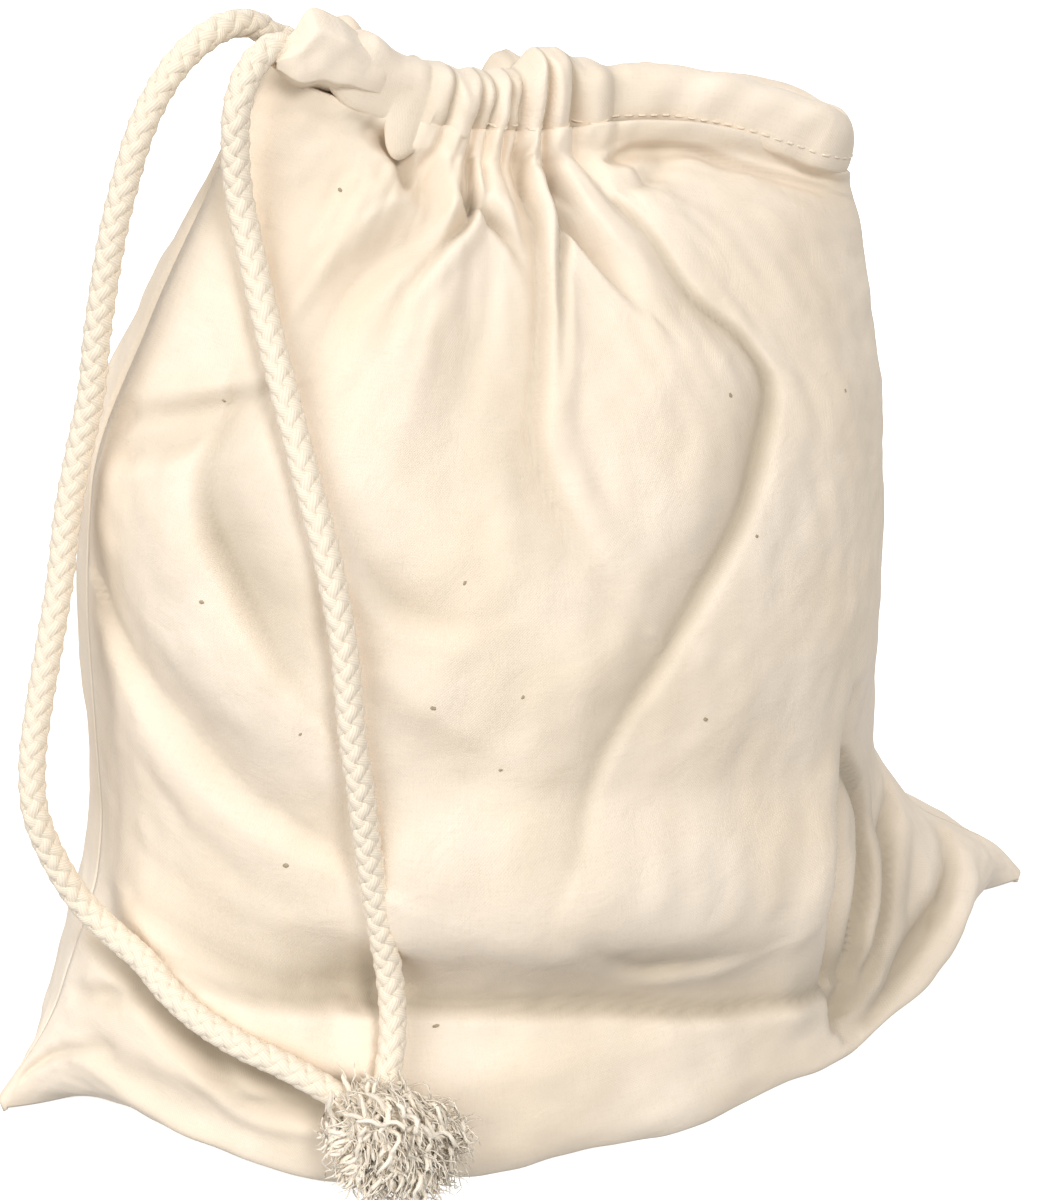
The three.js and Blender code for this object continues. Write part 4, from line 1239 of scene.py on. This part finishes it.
def thread_tubes(name: str, lines: Array, radius: float, sides: int) -> bpy.types.Object:
    """One piece of round threads that taper at their ends.

    Args:
        name: Name of the piece.
        lines: Middle lines in millimetres, one row of points a thread.
        radius: Radius of a thread in millimetres.
        sides: Faces round a thread.

    Returns:
        The new object.
    """
    rings = lines.shape[1]
    off_every_thread = (0.31, 0.22, 0.92)
    ahead = unit(np.gradient(lines, axis=1))
    side = unit(np.cross(ahead, off_every_thread))
    up = np.cross(side, ahead)
    share = np.linspace(0, 1, rings)
    size = radius * np.minimum(1, 6 * (1 - share)) ** 0.5 * np.minimum(1, 12 * share) ** 0.5

    def place(s: Array, t: Array, number: Array) -> Array:
        """Places points round each thread's middle line.

        Args:
            s: Shares of the way along the thread.
            t: Shares of the way round it.
            number: The thread's number.

        Returns:
            Points in millimetres.
        """
        ring = np.round(s * (rings - 1)).astype(int)
        angle = 2 * math.pi * t
        return (lines[number, ring]
                + side[number, ring] * (size[ring] * np.cos(angle))[:, None]
                + up[number, ring] * (size[ring] * np.sin(angle))[:, None])

    return parametric_mesh(name, rings - 1, sides, place, (0.02, 2 * math.pi * radius * MM),
                           copies=len(lines))


@dataclass
class CasingStitches:
    """The row of stitches along the lower edge of the casing band."""

    casing: Casing
    pitch: float = 2.7
    length: float = 2.0
    radius: float = 0.2
    angle: float = -24.0
    start: float = 36.0
    stop: float = 8.0
    points: int = 6
    arch: float = 0.16
    sunk: float = 0.06
    piece: bpy.types.Object = field(init=False)

    def build(self) -> None:
        """Models each stitch as a short thread that dips into the cloth at both ends."""
        count = int((self.casing.length - self.start - self.stop) / self.pitch)
        share = np.linspace(0, 1, self.points)
        at = self.start + self.pitch * np.arange(count)[:, None] + self.length * share
        turn = np.full(at.size, 1 + self.angle / 360)
        middle = self.casing.surface(at.ravel(), turn)
        beside = self.casing.surface(at.ravel() + 0.3, turn)
        above = self.casing.surface(at.ravel(), turn + 0.01)
        out = unit(np.cross(beside - middle, above - middle))
        rise = (self.arch * np.sin(math.pi * np.tile(share, count)) - self.sunk)[:, None]
        lines = (middle + out * rise).reshape(count, self.points, 3)
        self.piece = thread_tubes("casing_stitches", lines, self.radius, sides=6)

    def dress(self, yarn: bpy.types.Material) -> None:
        """Gives the stitches their thread and ties them to the frame."""
        tie(self.piece, yarn)


@dataclass
class BraidedCord:
    """Round cotton cord, braided from eight flat strands, four each way round."""

    name: str
    node: str
    centres: Array
    diameter: float = 6.0
    full: float = 5.8
    pitch: float = 16.5
    strands_each_way: int = 4
    strand_half_width: float = 1.38
    strand_half_thick: float = 0.86
    wave: float = 0.20
    end_taper: float = 0.8
    rings_per_mm: float = 2.0
    sides: int = 8
    piece: bpy.types.Object = field(init=False)
    path: Array = field(init=False)

    def build(self) -> None:
        """Models the strands round the centreline."""
        length = path_length(self.centres)
        rings = int(length * self.rings_per_mm)
        line = curve_through(self.centres[::4], rings + 1)
        _, sides, ups = carried_frames(line)
        run = np.linspace(0, length, rings + 1)
        core = self.full / 2 - self.strand_half_thick - self.wave
        strands = []
        for turn in Turn:
            for strand in range(self.strands_each_way):
                angle = (turn.value * 2 * math.pi * run / self.pitch
                         + 2 * math.pi * strand / self.strands_each_way)
                crossing = 2 * math.pi * self.strands_each_way * run / self.pitch
                radius = core + turn.value * self.wave * np.cos(crossing)
                radial = sides * np.cos(angle)[:, None] + ups * np.sin(angle)[:, None]
                middle = line + radial * radius[:, None]
                heading = unit(np.gradient(middle, axis=0))
                radial = unit(radial - heading * (radial * heading).sum(-1, keepdims=True))
                strands.append((middle, np.cross(heading, radial), radial))
        middles = np.array([strand[0] for strand in strands])
        breadths = np.array([strand[1] for strand in strands])
        radials = np.array([strand[2] for strand in strands])
        ends = np.minimum(run, run[-1] - run)
        taper = np.sqrt(np.clip(ends / self.end_taper, 0, 1))

        def place(s: Array, t: Array, number: Array) -> Array:
            """Places points round each strand's middle line.

            Args:
                s: Shares of the way along the strand.
                t: Shares of the way round it.
                number: The strand's number.

            Returns:
                Points in millimetres.
            """
            ring = np.round(s * rings).astype(int)
            angle = -2 * math.pi * t
            wide = self.strand_half_width * taper[ring] * np.cos(angle)
            thick = self.strand_half_thick * taper[ring] * np.sin(angle)
            return (middles[number, ring] + breadths[number, ring] * wide[:, None]
                    + radials[number, ring] * thick[:, None])

        around = 2 * math.pi * (self.strand_half_width + self.strand_half_thick) / 2
        self.piece = parametric_mesh(self.name, rings, self.sides, place,
                                     (length * MM, around * MM), copies=len(strands))
        self.path = line

    def dress(self, yarn: bpy.types.Material) -> None:
        """Gives the cord its yarn and ties it to the frame."""
        tie(self.piece, yarn, self.node)

    def declare_loose(self, length: float, knot: bpy.types.Object) -> None:
        """Args:
            length: The cord's real length in metres. Not used.
            knot: Piece at its far end. Not used.
        """


@dataclass
class FrayedKnot:
    """The cords' shared end, with its strands loosened into curled yarn."""

    form: BagForm
    curls: int = 210
    hairs: int = 460
    curl_radius: float = 0.5
    hair_radius: float = 0.2
    head: tuple[float, float, float] = (-1.6, 0.8, 5.0)
    tips_moved: tuple[float, float, float] = (-3.0, 0.0, 5.2)
    spread: float = 0.42
    above_floor: float = 0.2
    seed: int = 11
    curl_piece: bpy.types.Object = field(init=False)
    hair_piece: bpy.types.Object = field(init=False)

    def yarns(self, count: int, rings: int, loose: float, seed: int) -> Array:
        """Middle lines of curled yarns from the head to the lock tips.

        Args:
            count: Number of yarns.
            rings: Points along each yarn.
            loose: How far a yarn strays from its lock, in millimetres.
            seed: Seed of the yarns' places.

        Returns:
            Array of count lines of rings points.
        """
        random = np.random.default_rng(seed)
        shift = np.array((0, self.form.footprint_shift, 0))
        centre = np.array(KNOT_CENTRE) + shift
        tips = np.array(LOCK_TIPS) + shift + self.tips_moved
        s = np.linspace(0, 1, rings)[:, None]
        lines = []
        for _ in range(count):
            tip = tips[random.integers(len(tips))] + random.normal(0, loose, 3)
            start = centre + self.head + random.normal(0, self.spread, 3) * KNOT_RADII
            run = tip - start
            rise = unit(np.cross(run, random.normal(0, 1, 3)))
            across = unit(np.cross(run, rise))
            turns = np.linalg.norm(run) / random.uniform(5.0, 8.0)
            phase = random.uniform(0, 2 * math.pi)
            size = random.uniform(0.5, 1.7) * np.sqrt(s)
            bow = random.uniform(-2.5, 3.5)
            angle = 2 * math.pi * turns * s + phase
            lines.append(start + run * s + rise * size * np.cos(angle)
                         + across * size * np.sin(angle)
                         + np.array((0, -0.5, 0.8)) * bow * np.sin(math.pi * s))
        return np.array(lines)

    def build(self) -> None:
        """Models the thick curls and the fine hairs."""
        curls = self.yarns(self.curls, rings=25, loose=1.3, seed=self.seed)
        hairs = self.yarns(self.hairs, rings=15, loose=2.2, seed=self.seed + 1)
        for lines, radius in ((curls, self.curl_radius), (hairs, self.hair_radius)):
            lines[..., 2] = np.maximum(lines[..., 2], radius + self.above_floor)
        self.curl_piece = thread_tubes("frayed_curls", curls, self.curl_radius, sides=6)
        self.hair_piece = thread_tubes("frayed_hairs", hairs, self.hair_radius, sides=3)

    def dress(self, yarn: bpy.types.Material) -> None:
        """Gives the yarns their finish and ties them to the frame."""
        tie(self.curl_piece, yarn, "frayed_knot")
        tie(self.hair_piece, yarn)


@dataclass
class Studio:
    """Pale floor, soft light and the camera at the photograph's angle."""

    azimuth: float = -22.0
    elevation: float = 28.0
    distance: float = 0.82
    target: tuple[float, float, float] = (0.0055, 0.0153, 0.085)
    lens: float = 115.62
    floor_half: float = 4.0
    floor_glow: float = 0.6
    sky_strength: float = 0.37

    def build_camera(self) -> None:
        """Places the camera."""
        azimuth, elevation = math.radians(self.azimuth), math.radians(self.elevation)
        back = Vector((math.sin(azimuth) * math.cos(elevation),
                       -math.cos(azimuth) * math.cos(elevation), math.sin(elevation)))
        view = bpy.data.cameras.new("camera")
        view.lens = self.lens
        view.sensor_width = 36.0
        view.clip_start = 0.01
        camera = add_object("camera", view)
        camera.location = Vector(self.target) + back * self.distance
        camera.rotation_euler = back.to_track_quat("Z", "Y").to_euler()
        bpy.context.scene.camera = camera

    def soft_light(self, name: str, azimuth: float, elevation: float, strength: float,
                   spread: float) -> None:
        """Adds a broad, even light from one direction.

        Args:
            name: Name of the light.
            azimuth: Degrees round from the front, towards the right.
            elevation: Degrees above the floor.
            strength: Its strength in watts a square metre.
            spread: How wide the light looks from the bag, in degrees.
        """
        lamp = bpy.data.lights.new(name, "SUN")
        lamp.energy = strength
        lamp.angle = math.radians(spread)
        light = add_object(name, lamp)
        turn, rise = math.radians(azimuth), math.radians(elevation)
        aim = Vector((math.sin(turn) * math.cos(rise), -math.cos(turn) * math.cos(rise),
                      math.sin(rise)))
        light.location = aim * 2
        light.rotation_euler = aim.to_track_quat("Z", "Y").to_euler()

    def build(self) -> None:
        """Adds the floor, the sky and the lights."""
        shape = bmesh.new()
        bmesh.ops.create_grid(shape, x_segments=1, y_segments=1, size=self.floor_half)
        bmesh.ops.translate(shape, verts=shape.verts, vec=(0, 0, -0.0002))
        mesh = bpy.data.meshes.new("floor")
        shape.to_mesh(mesh)
        shape.free()
        floor = add_object("floor", mesh)
        material, tree = new_material("pale_studio_paper")
        paper = add_node(tree, "ShaderNodeBsdfPrincipled",
                         {"Base Color": linear("#fbfbfa"), "Roughness": 0.9,
                          "Specular IOR Level": 0.1, "Emission Color": linear("#ffffff"),
                          "Emission Strength": self.floor_glow})
        add_node(tree, "ShaderNodeOutputMaterial", {0: paper.outputs[0]})
        mesh.materials.append(material)
        floor.visible_diffuse = False
        world = bpy.data.worlds.new("studio")
        world.use_nodes = True
        sky = world.node_tree.nodes["Background"]
        sky.inputs["Color"].default_value = (1.0, 1.0, 1.0, 1.0)
        sky.inputs["Strength"].default_value = self.sky_strength
        bpy.context.scene.world = world
        self.soft_light("key", azimuth=0, elevation=40, strength=1.75, spread=16)
        self.soft_light("left_fill", azimuth=-70, elevation=30, strength=1.7, spread=50)
        self.soft_light("back_fill", azimuth=165, elevation=35, strength=0.9, spread=60)
        settings = bpy.context.scene.view_settings
        settings.view_transform = "Standard"
        settings.look = "None"


def report(piece: bpy.types.Object) -> None:
    """Logs one finished piece."""
    log.info("%s: %d faces", piece.name, len(piece.data.polygons))


def main() -> None:
    """Builds the studio and the bag."""
    logging.basicConfig(level=logging.INFO, format="%(message)s")
    studio = Studio()
    studio.build_camera()
    form = BagForm()
    yarn = BraidedCotton().build()
    cloth = PlainWeaveCotton().build()
    shift = np.array((0, form.footprint_shift, 0))

    front_cord, side_cord = [
        BraidedCord(name, node, curve_through(np.array(route) + shift, 400))
        for name, node, route in (("front_cord", "drawstring_front", FRONT_CORD_ROUTE),
                                  ("side_cord", "drawstring_side", SIDE_CORD_ROUTE))]
    knot = FrayedKnot(form)
    casing = Casing(form)
    flap = CasingFlap()
    stitches = CasingStitches(casing)
    for part in (front_cord, side_cord, knot, casing, flap, stitches):
        part.build()
    held_cord = BraidedCord("held_cord", "drawstring_in_casing", casing.line)
    held_cord.build()
    front = ClothPanel("front_cloth", "front_panel", Side.FRONT, FRONT_CREASES, form)
    back = ClothPanel("back_cloth", "back_panel", Side.BACK, BACK_CREASES, form)
    front_husks = SeedHusks(front, FRONT_HUSKS, 21)
    back_husks = SeedHusks(back, BACK_HUSKS, 22)
    for part in (front, back, front_husks, back_husks):
        part.build()
    for part in (front_cord, side_cord, held_cord, stitches):
        part.dress(yarn)
    # Painted light: the knot's yarn is a lighter copy of the cord yarn, which lifts the shadow
    # among its loose curls
    knot.dress(BraidedCotton(name="loosened_yarn_with_painted_light", light="#fdf3e3",
                             shade="#f4e7d2").build())
    for part in (casing, flap, front, back):
        part.dress(cloth)
    husk = SeedHusk().build()
    for part in (front_husks, back_husks):
        part.dress(husk)

    front_cord.declare_loose(0.228, knot.curl_piece)
    side_cord.declare_loose(0.278, knot.curl_piece)
    studio.build()
    for piece in (front.piece, back.piece, front_husks.piece, back_husks.piece, casing.piece,
                  flap.piece, stitches.piece, front_cord.piece, side_cord.piece, held_cord.piece,
                  knot.curl_piece, knot.hair_piece):
        report(piece)


if __name__ == "__main__":
    main()
